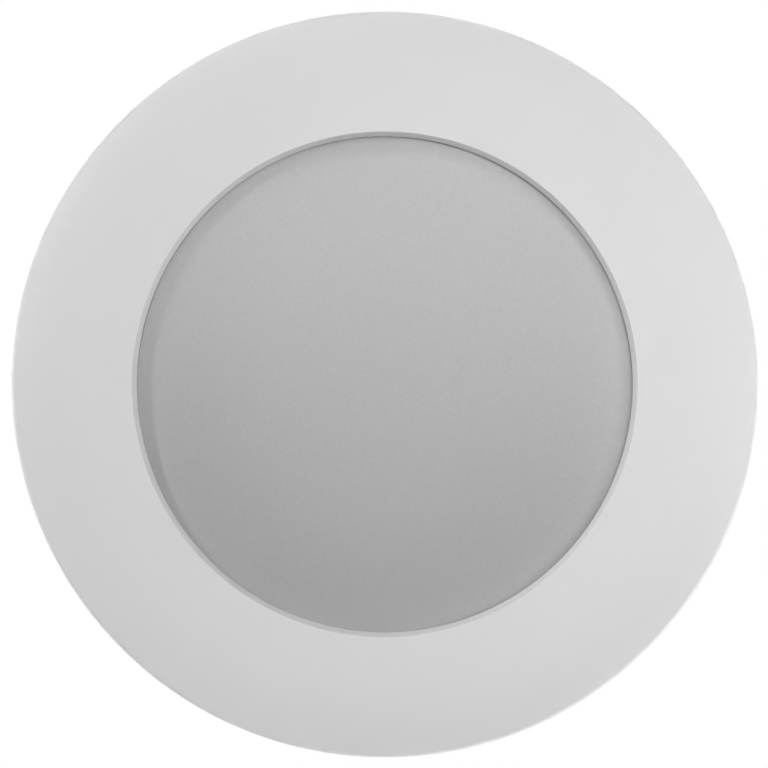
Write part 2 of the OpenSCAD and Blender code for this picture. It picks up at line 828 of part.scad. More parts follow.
// In the arm's own frame X runs from the pin to the tip, and Z away from the soffit.
module in_arm() {
    at_pivot() rotate([0, arm_drop, 0]) children();
}

// An outline drawn in X and Z, given a width along Y.
module across(y0, y1) {
    translate([0, y1, 0]) rotate([90, 0, 0]) linear_extrude(y1 - y0) children();
}

module clip_bracket() {
    out_x = ear_r;
    plate_x = -plate_to_pin - bracket_t;
    low_z = tab_z - pivot_z;
    high_z = bracket_top_z - pivot_z;
    color([0.74, 0.75, 0.77]) difference() {
        at_pivot() {
            // folded sheet: the U seen from above, trimmed to the ears' outline
            intersection() {
                translate([0, 0, low_z]) linear_extrude(high_z - low_z) difference() {
                    union() {
                        translate([plate_x + bend_r, -ear_out_y]) square([out_x - plate_x - bend_r, 2 * ear_out_y]);
                        translate([plate_x, -ear_out_y + bend_r]) square([bend_r + 1, 2 * (ear_out_y - bend_r)]);
                        for (s = [-1, 1])
                            translate([plate_x + bend_r, s * (ear_out_y - bend_r)]) circle(r = bend_r);
                    }
                    translate([plate_x + bracket_t, -ear_in_y]) square([out_x - plate_x, 2 * ear_in_y]);
                }
                across(-ear_out_y - through, ear_out_y + through) union() {
                    circle(r = ear_r);
                    polygon([
                        [plate_x, low_z],
                        [plate_x + bend_r, low_z],
                        [plate_x + bend_r, -ear_r - bracket_t],
                        [0, -ear_r],
                        [0, ear_r],
                        [plate_x + bend_r, ear_r + 2 * bracket_t],
                        [plate_x + bend_r, high_z],
                        [plate_x, high_z]
                    ]);
                }
            }
            // the stop tab, folded out at the bottom
            across(-tab_w / 2, tab_w / 2) polygon(concat(
                [[plate_x + bracket_t - eps, low_z + 2 * tab_t], [plate_x + bracket_t - eps, low_z]],
                [[tab_x - pivot_x, low_z], [tab_x - pivot_x, low_z + tab_t]],
                arc([plate_x + bracket_t + tab_fillet, low_z + tab_t + tab_fillet], tab_fillet, 270, 180, 4)
            ));
        }
        at_pivot() rotate([90, 0, 0])
            cylinder(r = pin_r + pin_press, h = 2 * ear_out_y + 2 * through, center = true);
        for (z = bracket_screw_z) translate([clip_pad_x - through, 0, z])
            rotate([0, 90, 0]) cylinder(r = screw_d / 2 + hole_clear, h = bracket_t + 2 * through);
    }
}

module bracket_screws() {
    color([0.78, 0.79, 0.80]) for (z = bracket_screw_z)
        translate([clip_pad_x + bracket_t, 0, z]) rotate([0, 90, 0])
            pan_screw(screw_d, bracket_screw_len);
}

module clip_pin() {
    color([0.80, 0.81, 0.83]) at_pivot() rotate([90, 0, 0]) {
        cylinder(r = pin_r, h = 2 * ear_out_y + 2 * eps, center = true);
        for (s = [-1, 1]) translate([0, 0, s * (ear_out_y + pin_head_t / 2)])
            cylinder(r = pin_head_r, h = pin_head_t, center = true);
    }
}

module clip_arm() {
    neck_s = sleeve_start - arm_t;
    color([0.74, 0.75, 0.77]) in_arm() difference() {
        union() {
            // the plate, with a narrower round-cornered tip inside the sleeve
            translate([0, 0, -arm_t / 2]) linear_extrude(arm_t) union() {
                translate([arm_start, -arm_out_y])
                    square([neck_s - arm_start, 2 * arm_out_y]);
                polygon([
                    [neck_s - eps, -arm_out_y],
                    [sleeve_start - snug, -tip_half_w],
                    [sleeve_start - snug, tip_half_w],
                    [neck_s - eps, arm_out_y]
                ]);
                translate([neck_s, -tip_half_w])
                    square([arm_len - sleeve_t - tip_round - neck_s, 2 * tip_half_w]);
                translate([arm_len - sleeve_t - tip_round - snug, -tip_half_w + tip_round])
                    square([tip_round, 2 * (tip_half_w - tip_round)]);
                for (s = [-1, 1])
                    translate([arm_len - sleeve_t - tip_round - snug, s * (tip_half_w - tip_round)])
                        circle(r = tip_round);
            }
            // two flanges carry the plate on the pin
            for (s = [-1, 1]) across(
                s > 0 ? arm_in_y : -arm_out_y, s > 0 ? arm_out_y : -arm_in_y
            ) union() {
                circle(r = flange_r);
                polygon([
                    [0, -flange_r],
                    [arm_start + arm_t, -arm_t / 2],
                    [neck_s - arm_t / 2, -arm_t / 2],
                    [neck_s - arm_t / 2, arm_t / 2],
                    [arm_start + flange_r, arm_t / 2 + flange_rise],
                    [0, flange_r]
                ]);
            }
        }
        rotate([90, 0, 0])
            cylinder(r = pin_r + pin_clear, h = 2 * arm_out_y + 2 * through, center = true);
    }
}

module arm_sleeve() {
    half_t = arm_t / 2 + sleeve_t;
    color([0.85, 0.85, 0.84]) in_arm() difference() {
        intersection() {
            hull() for (x = [sleeve_start, arm_len - half_t], s = [-1, 1])
                translate([x, s * (sleeve_w - half_t), 0]) sphere(r = half_t, $fn = 24);
            translate([sleeve_start, -sleeve_w - through, -half_t - through])
                cube([sleeve_len + through, 2 * (sleeve_w + through), 2 * (half_t + through)]);
        }
        translate([sleeve_start - through, -tip_half_w - snug, -arm_t / 2 - pin_press])
            cube([sleeve_len - sleeve_t + through, 2 * (tip_half_w + snug), arm_t + 2 * pin_press]);
    }
}

// The spring's centre line round the pin, which lies along Y: the leg up the bracket's plate,
// the coil, and the leg that presses the arm's root down.
coil_steps = ceil(8 * coil_sweep / 360);
fixed_dir = [-sin(fixed_tilt), 0, cos(fixed_tilt)];
arm_dir = [cos(arm_drop - arm_tilt), 0, -sin(arm_drop - arm_tilt)];
function on_coil(a, y) = [coil_r * cos(a), y, coil_r * sin(a)];
coil_path = [for (i = [0:coil_steps])
    on_coil(coil_from + coil_sweep * i / coil_steps, coil_len * (i / coil_steps - 0.5))];
spring_path = concat(
    [for (k = [3:-1:1]) coil_path[0] + fixed_dir * fixed_leg * k / 3],
    coil_path,
    [for (k = [1:3]) coil_path[coil_steps] + arm_dir * arm_leg * k / 3]
);
spring_gap = min([for (i = [0:len(spring_path) - 1], j = [i + 6:1:len(spring_path) - 1])
    norm(spring_path[i] - spring_path[j])]) - wire_d;
echo(spring_gap_to_itself = spring_gap);

function unit(v) = v / norm(v);

// A tube of six sides along a path, with one side's normal held close to Y.
module tube(path, r, sides = 6) {
    n = len(path);
    ring_points = [for (i = [0:n - 1])
        let (
            along = unit(path[min(i + 1, n - 1)] - path[max(i - 1, 0)]),
            side = unit(cross(cross(along, [0, 1, 0]), along)),
            up = cross(along, side)
        )
        for (k = [0:sides - 1])
            path[i] + r * (cos(360 * k / sides) * side + sin(360 * k / sides) * up)];
    walls = [for (i = [0:n - 2], k = [0:sides - 1])
        let (a = i * sides + k, b = i * sides + (k + 1) % sides)
        each [[a, b, b + sides], [a, b + sides, a + sides]]];
    start_cap = [for (k = [1:sides - 2]) [0, k + 1, k]];
    last = (n - 1) * sides;
    end_cap = [for (k = [1:sides - 2]) [last, last + k, last + k + 1]];
    polyhedron(points = ring_points, faces = concat(walls, start_cap, end_cap));
}

module clip_spring() {
    color([0.82, 0.83, 0.85]) at_pivot() tube(spring_path, spring_r);
}

module right_clip_bracket() on_side(1) clip_bracket();
module right_bracket_screws() on_side(1) bracket_screws();
module right_clip_pin() on_side(1) clip_pin();
module right_clip_spring() on_side(1) clip_spring();
module right_clip_arm() on_side(1) clip_arm();
module right_arm_sleeve() on_side(1) arm_sleeve();
module left_clip_bracket() on_side(-1) clip_bracket();
module left_bracket_screws() on_side(-1) bracket_screws();
module left_clip_pin() on_side(-1) clip_pin();
module left_clip_spring() on_side(-1) clip_spring();
module left_clip_arm() on_side(-1) clip_arm();
module left_arm_sleeve() on_side(-1) arm_sleeve();

trim_ring();
soffit_gasket();
lens();
lens_gasket();
mixing_reflector();
led_board();
led_chips();
led_board_screws();
thermal_pad();
heat_sink();
body_gasket();
body_screws();
wire_grommet();
led_wire_red();
led_wire_black();
driver_board();
driver_transformer();
driver_capacitors();
driver_chips();
terminal_block();
driver_screws();
rear_cover();
rear_cover_gasket();
rear_cover_screws();
gland_body();
gland_washer();
gland_seal();
gland_nut();
right_clip_bracket();
right_bracket_screws();
right_clip_pin();
right_clip_spring();
right_clip_arm();
right_arm_sleeve();
left_clip_bracket();
left_bracket_screws();
left_clip_pin();
left_clip_spring();
left_clip_arm();
left_arm_sleeve();
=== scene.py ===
import bpy
import bmesh
import math
import numpy as np
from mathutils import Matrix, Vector


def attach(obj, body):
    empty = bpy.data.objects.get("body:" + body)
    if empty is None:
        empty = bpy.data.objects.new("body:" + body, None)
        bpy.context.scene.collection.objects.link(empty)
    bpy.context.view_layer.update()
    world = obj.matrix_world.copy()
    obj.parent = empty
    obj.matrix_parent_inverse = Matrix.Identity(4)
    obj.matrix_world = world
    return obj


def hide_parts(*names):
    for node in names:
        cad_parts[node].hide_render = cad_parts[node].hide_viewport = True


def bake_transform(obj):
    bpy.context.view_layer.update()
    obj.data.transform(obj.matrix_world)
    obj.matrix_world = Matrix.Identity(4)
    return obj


# Soffit downlight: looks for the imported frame. Lengths in the dictionaries are millimetres.
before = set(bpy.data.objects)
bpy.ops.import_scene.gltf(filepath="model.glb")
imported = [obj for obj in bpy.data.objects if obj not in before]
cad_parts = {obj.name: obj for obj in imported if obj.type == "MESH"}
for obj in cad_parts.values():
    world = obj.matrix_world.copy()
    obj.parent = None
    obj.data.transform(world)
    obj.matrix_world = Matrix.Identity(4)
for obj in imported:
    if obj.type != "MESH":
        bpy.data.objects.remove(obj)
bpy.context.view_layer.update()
mm = 0.001
pi = math.pi

# Surfaces worked out as arrays

def arcPoints(centre, radius, startDeg, endDeg, steps):
    # points on a circle: centre + radius * (cos a, sin a), a running evenly from start to end
    a = np.radians(np.linspace(startDeg, endDeg, steps + 1))
    return np.column_stack([centre[0] + radius * np.cos(a), centre[1] + radius * np.sin(a)])


def gridFaces(rows, columns, wrapRows=False, wrapColumns=False, start=0):
    # quads between neighbours of a grid whose point (i, j) has the number i * columns + j
    i = np.arange(rows if wrapRows else rows - 1)[:, None]
    j = np.arange(columns if wrapColumns else columns - 1)[None, :]
    nextI, nextJ = (i + 1) % rows, (j + 1) % columns
    quads = np.stack([i * columns + j, i * columns + nextJ,
                      nextI * columns + nextJ, nextI * columns + j], -1)
    return quads.reshape(-1, 4) + start


def turned(profile, count, loop=False):
    # each profile point (r, z) goes to (r cos t, r sin t, z), t running once round the axis;
    # points with r = 0 all fall on one pole and are merged later
    profile = np.asarray(profile, float)
    t = np.linspace(0, 2 * pi, count, endpoint=False)
    r, z = profile[:, :1], profile[:, 1:]
    points = np.stack([r * np.cos(t), r * np.sin(t), z + 0 * t], -1).reshape(-1, 3)
    return points, gridFaces(len(profile), count, wrapRows=loop, wrapColumns=True).tolist()


def carried(sections):
    # closed outlines (rows, points, 3) joined in order into a skin, with a flat face at each end
    sections = np.asarray(sections, float)
    rows, columns = sections.shape[:2]
    faces = gridFaces(rows, columns, wrapColumns=True).tolist()
    faces += [list(range(columns))[::-1], list(range((rows - 1) * columns, rows * columns))]
    return sections.reshape(-1, 3), faces


def drawn(outline, low, high):
    # an outline (x, y) carried straight up from low to high
    return carried([np.column_stack([outline, np.full(len(outline), z)]) for z in (low, high)])


def tube(path, radius, sides, across):
    # a circle carried along the path; its first axis is the given direction less its part along the path
    path = np.asarray(path, float)
    along = np.gradient(path, axis=0)
    along /= np.linalg.norm(along, axis=1)[:, None]
    side = np.asarray(across, float) - along * (along @ np.asarray(across, float))[:, None]
    side /= np.linalg.norm(side, axis=1)[:, None]
    up = np.cross(along, side)
    a = np.linspace(0, 2 * pi, sides, endpoint=False)[None, :, None]
    radius = np.broadcast_to(radius, (len(path),))[:, None, None]
    points = path[:, None] + radius * (np.cos(a) * side[:, None] + np.sin(a) * up[:, None])
    return carried(points)


def joined(shells):
    # several closed shells as one set of points and faces
    points, faces, start = [], [], 0
    for shellPoints, shellFaces in shells:
        points.append(shellPoints)
        faces += [[index + start for index in face] for face in shellFaces]
        start += len(shellPoints)
    return np.vstack(points), faces


def spun(points, degrees):
    # points turned about Z by an angle
    a = math.radians(degrees)
    turn = np.array([[math.cos(a), -math.sin(a), 0], [math.sin(a), math.cos(a), 0], [0, 0, 1]])
    return np.asarray(points) @ turn.T


def makePiece(name, shell, finish, node, body="root", sharp=32):
    # a mesh of the given points (mm) and faces, its doubles merged, its faces turned outwards and its
    # edges sharp past the given angle; it takes the place of a CAD node
    points, faces = shell
    mesh = bpy.data.meshes.new(name)
    mesh.from_pydata((np.asarray(points) * mm).tolist(), [], faces)
    work = bmesh.new()
    work.from_mesh(mesh)
    bmesh.ops.remove_doubles(work, verts=work.verts, dist=1e-7)
    bmesh.ops.dissolve_degenerate(work, edges=work.edges, dist=1e-8)
    bmesh.ops.recalc_face_normals(work, faces=work.faces)
    work.to_mesh(mesh)
    work.free()
    mesh.shade_smooth()
    piece = bpy.data.objects.new(name, mesh)
    bpy.context.scene.collection.objects.link(piece)
    piece.data.materials.append(finishes[finish])
    mesh.set_sharp_from_angle(angle=math.radians(sharp))
    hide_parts(node)
    if body:
        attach(piece, body)
    return piece


# Finishes

def newGroup(name, inputs, outputs):
    group = bpy.data.node_groups.new(name, "ShaderNodeTree")
    for label, kind, value in inputs:
        socket = group.interface.new_socket(name=label, in_out="INPUT", socket_type=kind)
        if value is not None:
            socket.default_value = value
    for label, kind in outputs:
        group.interface.new_socket(name=label, in_out="OUTPUT", socket_type=kind)
    return group, group.nodes.new("NodeGroupInput"), group.nodes.new("NodeGroupOutput")


def addNode(tree, kind, **values):
    # a node with its settings; a key that is a socket's name sets that socket
    node = tree.nodes.new(kind)
    for key, value in values.items():
        if hasattr(node, key):
            setattr(node, key, value)
        else:
            node.inputs[key.replace("_", " ")].default_value = value
    return node


def buildToneGroup():
    # two colours mixed by a slow cloud noise: mix = clamp((noise - 0.5) * contrast + 0.5)
    group, enter, leave = newGroup(
        "slowTone",
        [("Vector", "NodeSocketVector", None), ("Colour A", "NodeSocketColor", (1, 1, 1, 1)),
         ("Colour B", "NodeSocketColor", (0, 0, 0, 1)), ("Scale", "NodeSocketFloat", 60.0),
         ("Contrast", "NodeSocketFloat", 2.0)],
        [("Color", "NodeSocketColor"), ("Mask", "NodeSocketFloat")])
    noise = addNode(group, "ShaderNodeTexNoise", Detail=4.0, Roughness=0.55)
    shift = addNode(group, "ShaderNodeMath", operation="SUBTRACT")
    shift.inputs[1].default_value = 0.5
    gain = addNode(group, "ShaderNodeMath", operation="MULTIPLY_ADD", use_clamp=True)
    gain.inputs[2].default_value = 0.5
    mix = addNode(group, "ShaderNodeMix", data_type="RGBA")
    link = group.links.new
    link(enter.outputs["Vector"], noise.inputs["Vector"])
    link(enter.outputs["Scale"], noise.inputs["Scale"])
    link(noise.outputs["Fac"], shift.inputs[0])
    link(shift.outputs[0], gain.inputs[0])
    link(enter.outputs["Contrast"], gain.inputs[1])
    link(gain.outputs[0], mix.inputs["Factor"])
    link(enter.outputs["Colour A"], mix.inputs["A"])
    link(enter.outputs["Colour B"], mix.inputs["B"])
    link(mix.outputs["Result"], leave.inputs["Color"])
    link(gain.outputs[0], leave.inputs["Mask"])
    return group


def buildGrainGroup():
    # fine grain: height = noise at the given scale mixed with noise about three times finer;
    # value = the height's middle range spread from low to high
    group, enter, leave = newGroup(
        "fineGrain",
        [("Vector", "NodeSocketVector", None), ("Scale", "NodeSocketFloat", 2000.0),
         ("Fine Share", "NodeSocketFloat", 0.35), ("Low", "NodeSocketFloat", 0.4),
         ("High", "NodeSocketFloat", 0.6)],
        [("Height", "NodeSocketFloat"), ("Value", "NodeSocketFloat")])
    coarse = addNode(group, "ShaderNodeTexNoise", Detail=2.0, Roughness=0.5)
    fine = addNode(group, "ShaderNodeTexNoise", Detail=1.0, Roughness=0.5)
    triple = addNode(group, "ShaderNodeMath", operation="MULTIPLY")
    triple.inputs[1].default_value = 3.1
    blend = addNode(group, "ShaderNodeMix", data_type="FLOAT")
    spread = addNode(group, "ShaderNodeMapRange", From_Min=0.3, From_Max=0.7)
    link = group.links.new
    link(enter.outputs["Vector"], coarse.inputs["Vector"])
    link(enter.outputs["Vector"], fine.inputs["Vector"])
    link(enter.outputs["Scale"], coarse.inputs["Scale"])
    link(enter.outputs["Scale"], triple.inputs[0])
    link(triple.outputs[0], fine.inputs["Scale"])
    link(enter.outputs["Fine Share"], blend.inputs["Factor"])
    link(coarse.outputs["Fac"], blend.inputs["A"])
    link(fine.outputs["Fac"], blend.inputs["B"])
    link(blend.outputs["Result"], leave.inputs["Height"])
    link(blend.outputs["Result"], spread.inputs["Value"])
    link(enter.outputs["Low"], spread.inputs["To Min"])
    link(enter.outputs["High"], spread.inputs["To Max"])
    link(spread.outputs["Result"], leave.inputs["Value"])
    return group


def buildPoreGroup():
    # pores: height = smooth step of the distance to the nearest cell centre, full from the rim outwards
    group, enter, leave = newGroup(
        "cellPores",
        [("Vector", "NodeSocketVector", None), ("Scale", "NodeSocketFloat", 2000.0),
         ("Rim", "NodeSocketFloat", 0.5)],
        [("Height", "NodeSocketFloat"), ("Mask", "NodeSocketFloat")])
    cells = addNode(group, "ShaderNodeTexVoronoi", feature="F1", Randomness=1.0)
    edge = addNode(group, "ShaderNodeMapRange", interpolation_type="SMOOTHSTEP")
    link = group.links.new
    link(enter.outputs["Vector"], cells.inputs["Vector"])
    link(enter.outputs["Scale"], cells.inputs["Scale"])
    link(cells.outputs["Distance"], edge.inputs["Value"])
    link(enter.outputs["Rim"], edge.inputs["From Max"])
    link(edge.outputs["Result"], leave.inputs["Height"])
    link(edge.outputs["Result"], leave.inputs["Mask"])
    return group


toneGroup, grainGroup, poreGroup = buildToneGroup(), buildGrainGroup(), buildPoreGroup()

# base and second colour, scale of the slow clouds (1/m), roughness from and to, scale of the grain (1/m)
# and its height (m); pores, where given, have a scale (1/m) and a depth (m)
finishSettings = {
    "white_powder_coat": dict(base=(0.79, 0.79, 0.785), second=(0.775, 0.777, 0.775), clouds=45,
                              rough=(0.38, 0.46), grain=1500, height=4e-6, specular=0.35),
    "frosted_glass": dict(base=(0.39, 0.39, 0.39), second=(0.41, 0.41, 0.41), clouds=3600, contrast=3.0,
                          rough=(0.17, 0.23), grain=3800, height=0.8e-6, specular=0.8),
    "black_foam": dict(base=(0.030, 0.030, 0.031), second=(0.045, 0.045, 0.046), clouds=300,
                       rough=(0.86, 0.98), grain=3500, height=2e-5, pores=(2600, 1.2e-4)),
    "grey_silicone": dict(base=(0.62, 0.62, 0.615), second=(0.57, 0.57, 0.565), clouds=120,
                          rough=(0.42, 0.52), grain=2500, height=4e-6),
    "white_reflector": dict(base=(0.86, 0.86, 0.85), second=(0.83, 0.83, 0.82), clouds=90,
                            rough=(0.28, 0.36), grain=1600, height=3e-6),
    "white_solder_mask": dict(base=(0.80, 0.81, 0.80), second=(0.76, 0.775, 0.76), clouds=160,
                              rough=(0.34, 0.44), grain=3000, height=2e-6),
    "led_phosphor": dict(base=(0.86, 0.68, 0.16), second=(0.90, 0.76, 0.28), clouds=900,
                         rough=(0.36, 0.5), grain=5000, height=3e-6),
    "zinc_steel": dict(base=(0.54, 0.55, 0.57), second=(0.47, 0.49, 0.52), clouds=420,
                       rough=(0.46, 0.60), grain=1800, height=3e-6, metal=1.0),
    "blue_thermal_pad": dict(base=(0.24, 0.36, 0.52), second=(0.20, 0.31, 0.46), clouds=500,
                             rough=(0.66, 0.8), grain=3500, height=6e-6),
    "cast_aluminium": dict(base=(0.60, 0.61, 0.62), second=(0.52, 0.53, 0.545), clouds=110,
                           rough=(0.46, 0.62), grain=2300, height=1.4e-5, metal=1.0),
    "black_rubber": dict(base=(0.022, 0.022, 0.024), second=(0.032, 0.032, 0.034), clouds=200,
                         rough=(0.55, 0.68), grain=2600, height=7e-6),
    "red_insulation": dict(base=(0.48, 0.018, 0.012), second=(0.42, 0.014, 0.010), clouds=400,
                           rough=(0.34, 0.42), grain=2600, height=3e-6),
    "black_insulation": dict(base=(0.016, 0.016, 0.018), second=(0.024, 0.024, 0.026), clouds=400,
                             rough=(0.34, 0.42), grain=2600, height=3e-6),
    "green_board": dict(base=(0.010, 0.105, 0.038), second=(0.016, 0.140, 0.052), clouds=700, contrast=9.0,
                        rough=(0.26, 0.4), grain=2600, height=5e-6),
    "ferrite": dict(base=(0.028, 0.028, 0.032), second=(0.045, 0.045, 0.050), clouds=800,
                    rough=(0.45, 0.6), grain=4200, height=1e-5),
    "capacitor_sleeve": dict(base=(0.014, 0.018, 0.060), second=(0.020, 0.025, 0.078), clouds=250,
                             rough=(0.20, 0.30), grain=2200, height=2e-6),
    "black_epoxy": dict(base=(0.014, 0.014, 0.015), second=(0.022, 0.022, 0.024), clouds=900,
                        rough=(0.46, 0.58), grain=5200, height=5e-6),
    "green_terminal": dict(base=(0.040, 0.210, 0.075), second=(0.034, 0.180, 0.064), clouds=200,
                           rough=(0.36, 0.46), grain=3000, height=4e-6),
    "black_nylon": dict(base=(0.018, 0.018, 0.019), second=(0.027, 0.027, 0.028), clouds=150,
                        rough=(0.44, 0.56), grain=3400, height=1.2e-5),
    "spring_wire": dict(base=(0.56, 0.57, 0.58), second=(0.44, 0.45, 0.47), clouds=900,
                        rough=(0.20, 0.34), grain=3000, height=2e-6, metal=1.0),
    "clear_silicone": dict(base=(0.64, 0.64, 0.62), second=(0.58, 0.58, 0.56), clouds=180,
                           rough=(0.36, 0.46), grain=2300, height=4e-6),
}


def makeFinish(name, look):
    # tone from slow clouds, roughness and bump from fine grain, bump also from pores where it has them
    material = bpy.data.materials.new(name)
    material.use_nodes = True
    tree = material.node_tree
    shader = tree.nodes["Principled BSDF"]
    shader.inputs["Metallic"].default_value = look.get("metal", 0.0)
    shader.inputs["Specular IOR Level"].default_value = look.get("specular", 0.5)
    link = tree.links.new
    place = addNode(tree, "ShaderNodeTexCoord")
    tone = addNode(tree, "ShaderNodeGroup", node_tree=toneGroup)
    tone.inputs["Colour A"].default_value = (*look["base"], 1)
    tone.inputs["Colour B"].default_value = (*look["second"], 1)
    tone.inputs["Scale"].default_value = look["clouds"]
    tone.inputs["Contrast"].default_value = look.get("contrast", 2.5)
    grain = addNode(tree, "ShaderNodeGroup", node_tree=grainGroup)
    grain.inputs["Scale"].default_value = look["grain"]
    grain.inputs["Low"].default_value, grain.inputs["High"].default_value = look["rough"]
    bump = addNode(tree, "ShaderNodeBump", Strength=1.0, Distance=look["height"])
    link(place.outputs["Object"], tone.inputs["Vector"])
    link(place.outputs["Object"], grain.inputs["Vector"])
    link(tone.outputs["Color"], shader.inputs["Base Color"])
    link(grain.outputs["Value"], shader.inputs["Roughness"])
    link(grain.outputs["Height"], bump.inputs["Height"])
    last = bump
    if "pores" in look:
        pores = addNode(tree, "ShaderNodeGroup", node_tree=poreGroup)
        pores.inputs["Scale"].default_value = look["pores"][0]
        deep = addNode(tree, "ShaderNodeBump", Strength=1.0, Distance=look["pores"][1])
        link(place.outputs["Object"], pores.inputs["Vector"])
        link(pores.outputs["Height"], deep.inputs["Height"])
        link(bump.outputs["Normal"], deep.inputs["Normal"])
        last = deep
    link(last.outputs["Normal"], shader.inputs["Normal"])
    return material


finishes = {name: makeFinish(name, look) for name, look in finishSettings.items()}
nodeSlot = {}
for nodeName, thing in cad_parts.items():
    nodeSlot[nodeName] = thing.data.materials[0].name.split(".")[0]
    for index in range(len(thing.material_slots)):
        thing.material_slots[index].material = finishes[nodeSlot[nodeName]]
print("finishes made:", len(finishes))

# Trim ring

ringSettings = dict(outer=45.0, aperture=29.9, faceZ=-4.2, rimWidth=0.46, rimCorner=0.10, flat=5.89,
                    flatEnd=0.3, crownDrop=1.25, edgeRound=0.7, seatZ=-2.6, backZ=-0.7, grooveZ=-2.0,
                    grooveIn=37.0, grooveOut=42.5, collar=34.0, bore=32.2, topZ=11.0, chamfer=0.5,
                    soft=0.15, support=0.04, steps=384)
lugSettings = dict(angles=(90, 210, 330), centre=29.9, radius=2.6, height=3.4, hole=1.54, intoWall=0.6,
                   widen=3.2, steps=48)


def ringProfile(s):
    # half section: lip, sloped rim with a small corner, flat band, crown arc tangent to the band, rounded
    # edge, back with the gasket's groove, collar with its lead-in; each corner eased by a small arc
    soft, held = s["soft"], s["support"]
    crownStart = s["aperture"] + s["rimWidth"] + s["flat"]
    run = s["outer"] - crownStart
    crown = (run ** 2 + s["crownDrop"] ** 2) / (2 * s["crownDrop"])
    crownZ = s["faceZ"] + crown
    turn = math.degrees(math.asin((run - s["edgeRound"]) / (crown - s["edgeRound"])))
    edgeZ = crownZ - (crown - s["edgeRound"]) * math.cos(math.radians(turn))
    slope = math.atan2(s["seatZ"] - soft - s["faceZ"], s["rimWidth"])
    cornerR = s["aperture"] + s["rimWidth"] + s["rimCorner"] * math.tan(slope / 2)
    leaning = math.degrees(slope)
    corner = arcPoints((cornerR, s["faceZ"] + s["rimCorner"]), s["rimCorner"], 270 - leaning, 270, 6)
    down = np.array([-math.cos(slope), math.sin(slope)])
    return np.vstack([
        arcPoints((s["aperture"] + soft, s["seatZ"] - soft), soft, 90, 180, 3),
        [(s["aperture"], s["seatZ"] - soft) - down * held, corner[0] + down * held],
        corner, [[cornerR + held, s["faceZ"]], [crownStart - s["flatEnd"], s["faceZ"]]],
        arcPoints((crownStart, crownZ), crown, 270, 270 + turn, 40),
        arcPoints((s["outer"] - s["edgeRound"], edgeZ), s["edgeRound"], 270 + turn, 360, 12)[1:],
        arcPoints((s["outer"] - soft, s["backZ"] - soft), soft, 0, 90, 3),
        [[s["grooveOut"], s["backZ"]], [s["grooveOut"], s["grooveZ"]], [s["grooveIn"], s["grooveZ"]],
         [s["grooveIn"], s["backZ"]], [s["collar"] + soft, s["backZ"]]],
        arcPoints((s["collar"] + soft, s["backZ"] + soft), soft, 270, 180, 3)[1:],
        [[s["collar"], s["topZ"] - s["chamfer"]], [s["collar"] - s["chamfer"], s["topZ"]],
         [s["bore"], s["topZ"]], [s["bore"], s["seatZ"]]]])


def ringLug(s, bore, topZ, degrees):
    # a boss round a screw hole: its outline runs round the hole and out into the collar's wall
    a = np.radians(np.linspace(0, 360, s["steps"], endpoint=False))
    side = np.column_stack([np.cos(a), np.sin(a)])
    outside = side[:, 0] > 0
    outline = side * s["radius"]
    outline[:, 0] = np.where(outside, bore + s["intoWall"] - s["centre"], outline[:, 0])
    outline[:, 1] = np.where(outside, np.clip(side[:, 1] * s["widen"], -1, 1) * s["radius"], outline[:, 1])
    hole = side * s["hole"]
    loops = [(hole, topZ - s["height"]), (outline, topZ - s["height"]), (outline, topZ), (hole, topZ)]
    points = np.vstack([np.column_stack([loop + (s["centre"], 0), np.full(len(a), z)]) for loop, z in loops])
    return spun(points, degrees), gridFaces(4, len(a), wrapRows=True, wrapColumns=True).tolist()


ringShells = [turned(ringProfile(ringSettings), ringSettings["steps"], loop=True)]
for angle in lugSettings["angles"]:
    ringShells.append(ringLug(lugSettings, ringSettings["bore"], ringSettings["topZ"], angle))
makePiece("trimRing", joined(ringShells), "white_powder_coat", "trim_ring")

# Lens and the rings beside the soffit and the gland

lensSettings = dict(radius=31.2, lowZ=-1.8, thick=3.0, bevel=0.3, rings=10, steps=256)


def lensProfile(s):
    # a flat disc in rings that come closer near the edge, both edges rounded by the bevel
    high, edge = s["lowZ"] + s["thick"], s["radius"] - s["bevel"]
    reach = edge * np.sin(np.linspace(0, pi / 2, s["rings"]))
    low = np.column_stack([reach, np.full(s["rings"], s["lowZ"])])
    top = np.column_stack([reach[::-1], np.full(s["rings"], high)])
    return np.vstack([low, arcPoints((edge, s["lowZ"] + s["bevel"]), s["bevel"], 270, 360, 4)[1:],
                      arcPoints((edge, high - s["bevel"]), s["bevel"], 0, 90, 4)[:-1], top])


makePiece("lens", turned(lensProfile(lensSettings), lensSettings["steps"]), "frosted_glass", "lens")

softRings = dict(
    soffitGasket=dict(node="soffit_gasket", finish="black_foam", inner=37.25, outer=42.25, low=-2.0, high=0.0,
                      ease=0.45, steps=192),
    glandWasher=dict(node="gland_washer", finish="black_rubber", inner=8.05, outer=9.95, low=49.8, high=51.0,
                     ease=0.35, steps=192),
)


def roundedBox(x0, x1, y0, y1, corner, steps=4):
    # outline of a rectangle with its corners rounded
    corners = ((x1 - corner, y0 + corner, 270), (x1 - corner, y1 - corner, 0),
               (x0 + corner, y1 - corner, 90), (x0 + corner, y0 + corner, 180))
    return np.vstack([arcPoints((x, y), corner, start, start + 90, steps) for x, y, start in corners])


def easedRing(s):
    # a rectangle with rounded corners turned round the axis
    return turned(roundedBox(s["inner"], s["outer"], s["low"], s["high"], s["ease"]), s["steps"], loop=True)


for ringName, ring in softRings.items():
    makePiece(ringName, easedRing(ring), ring["finish"], ring["node"])
print("ring, lens and gaskets made")

# Shapes that the housing and the clips share

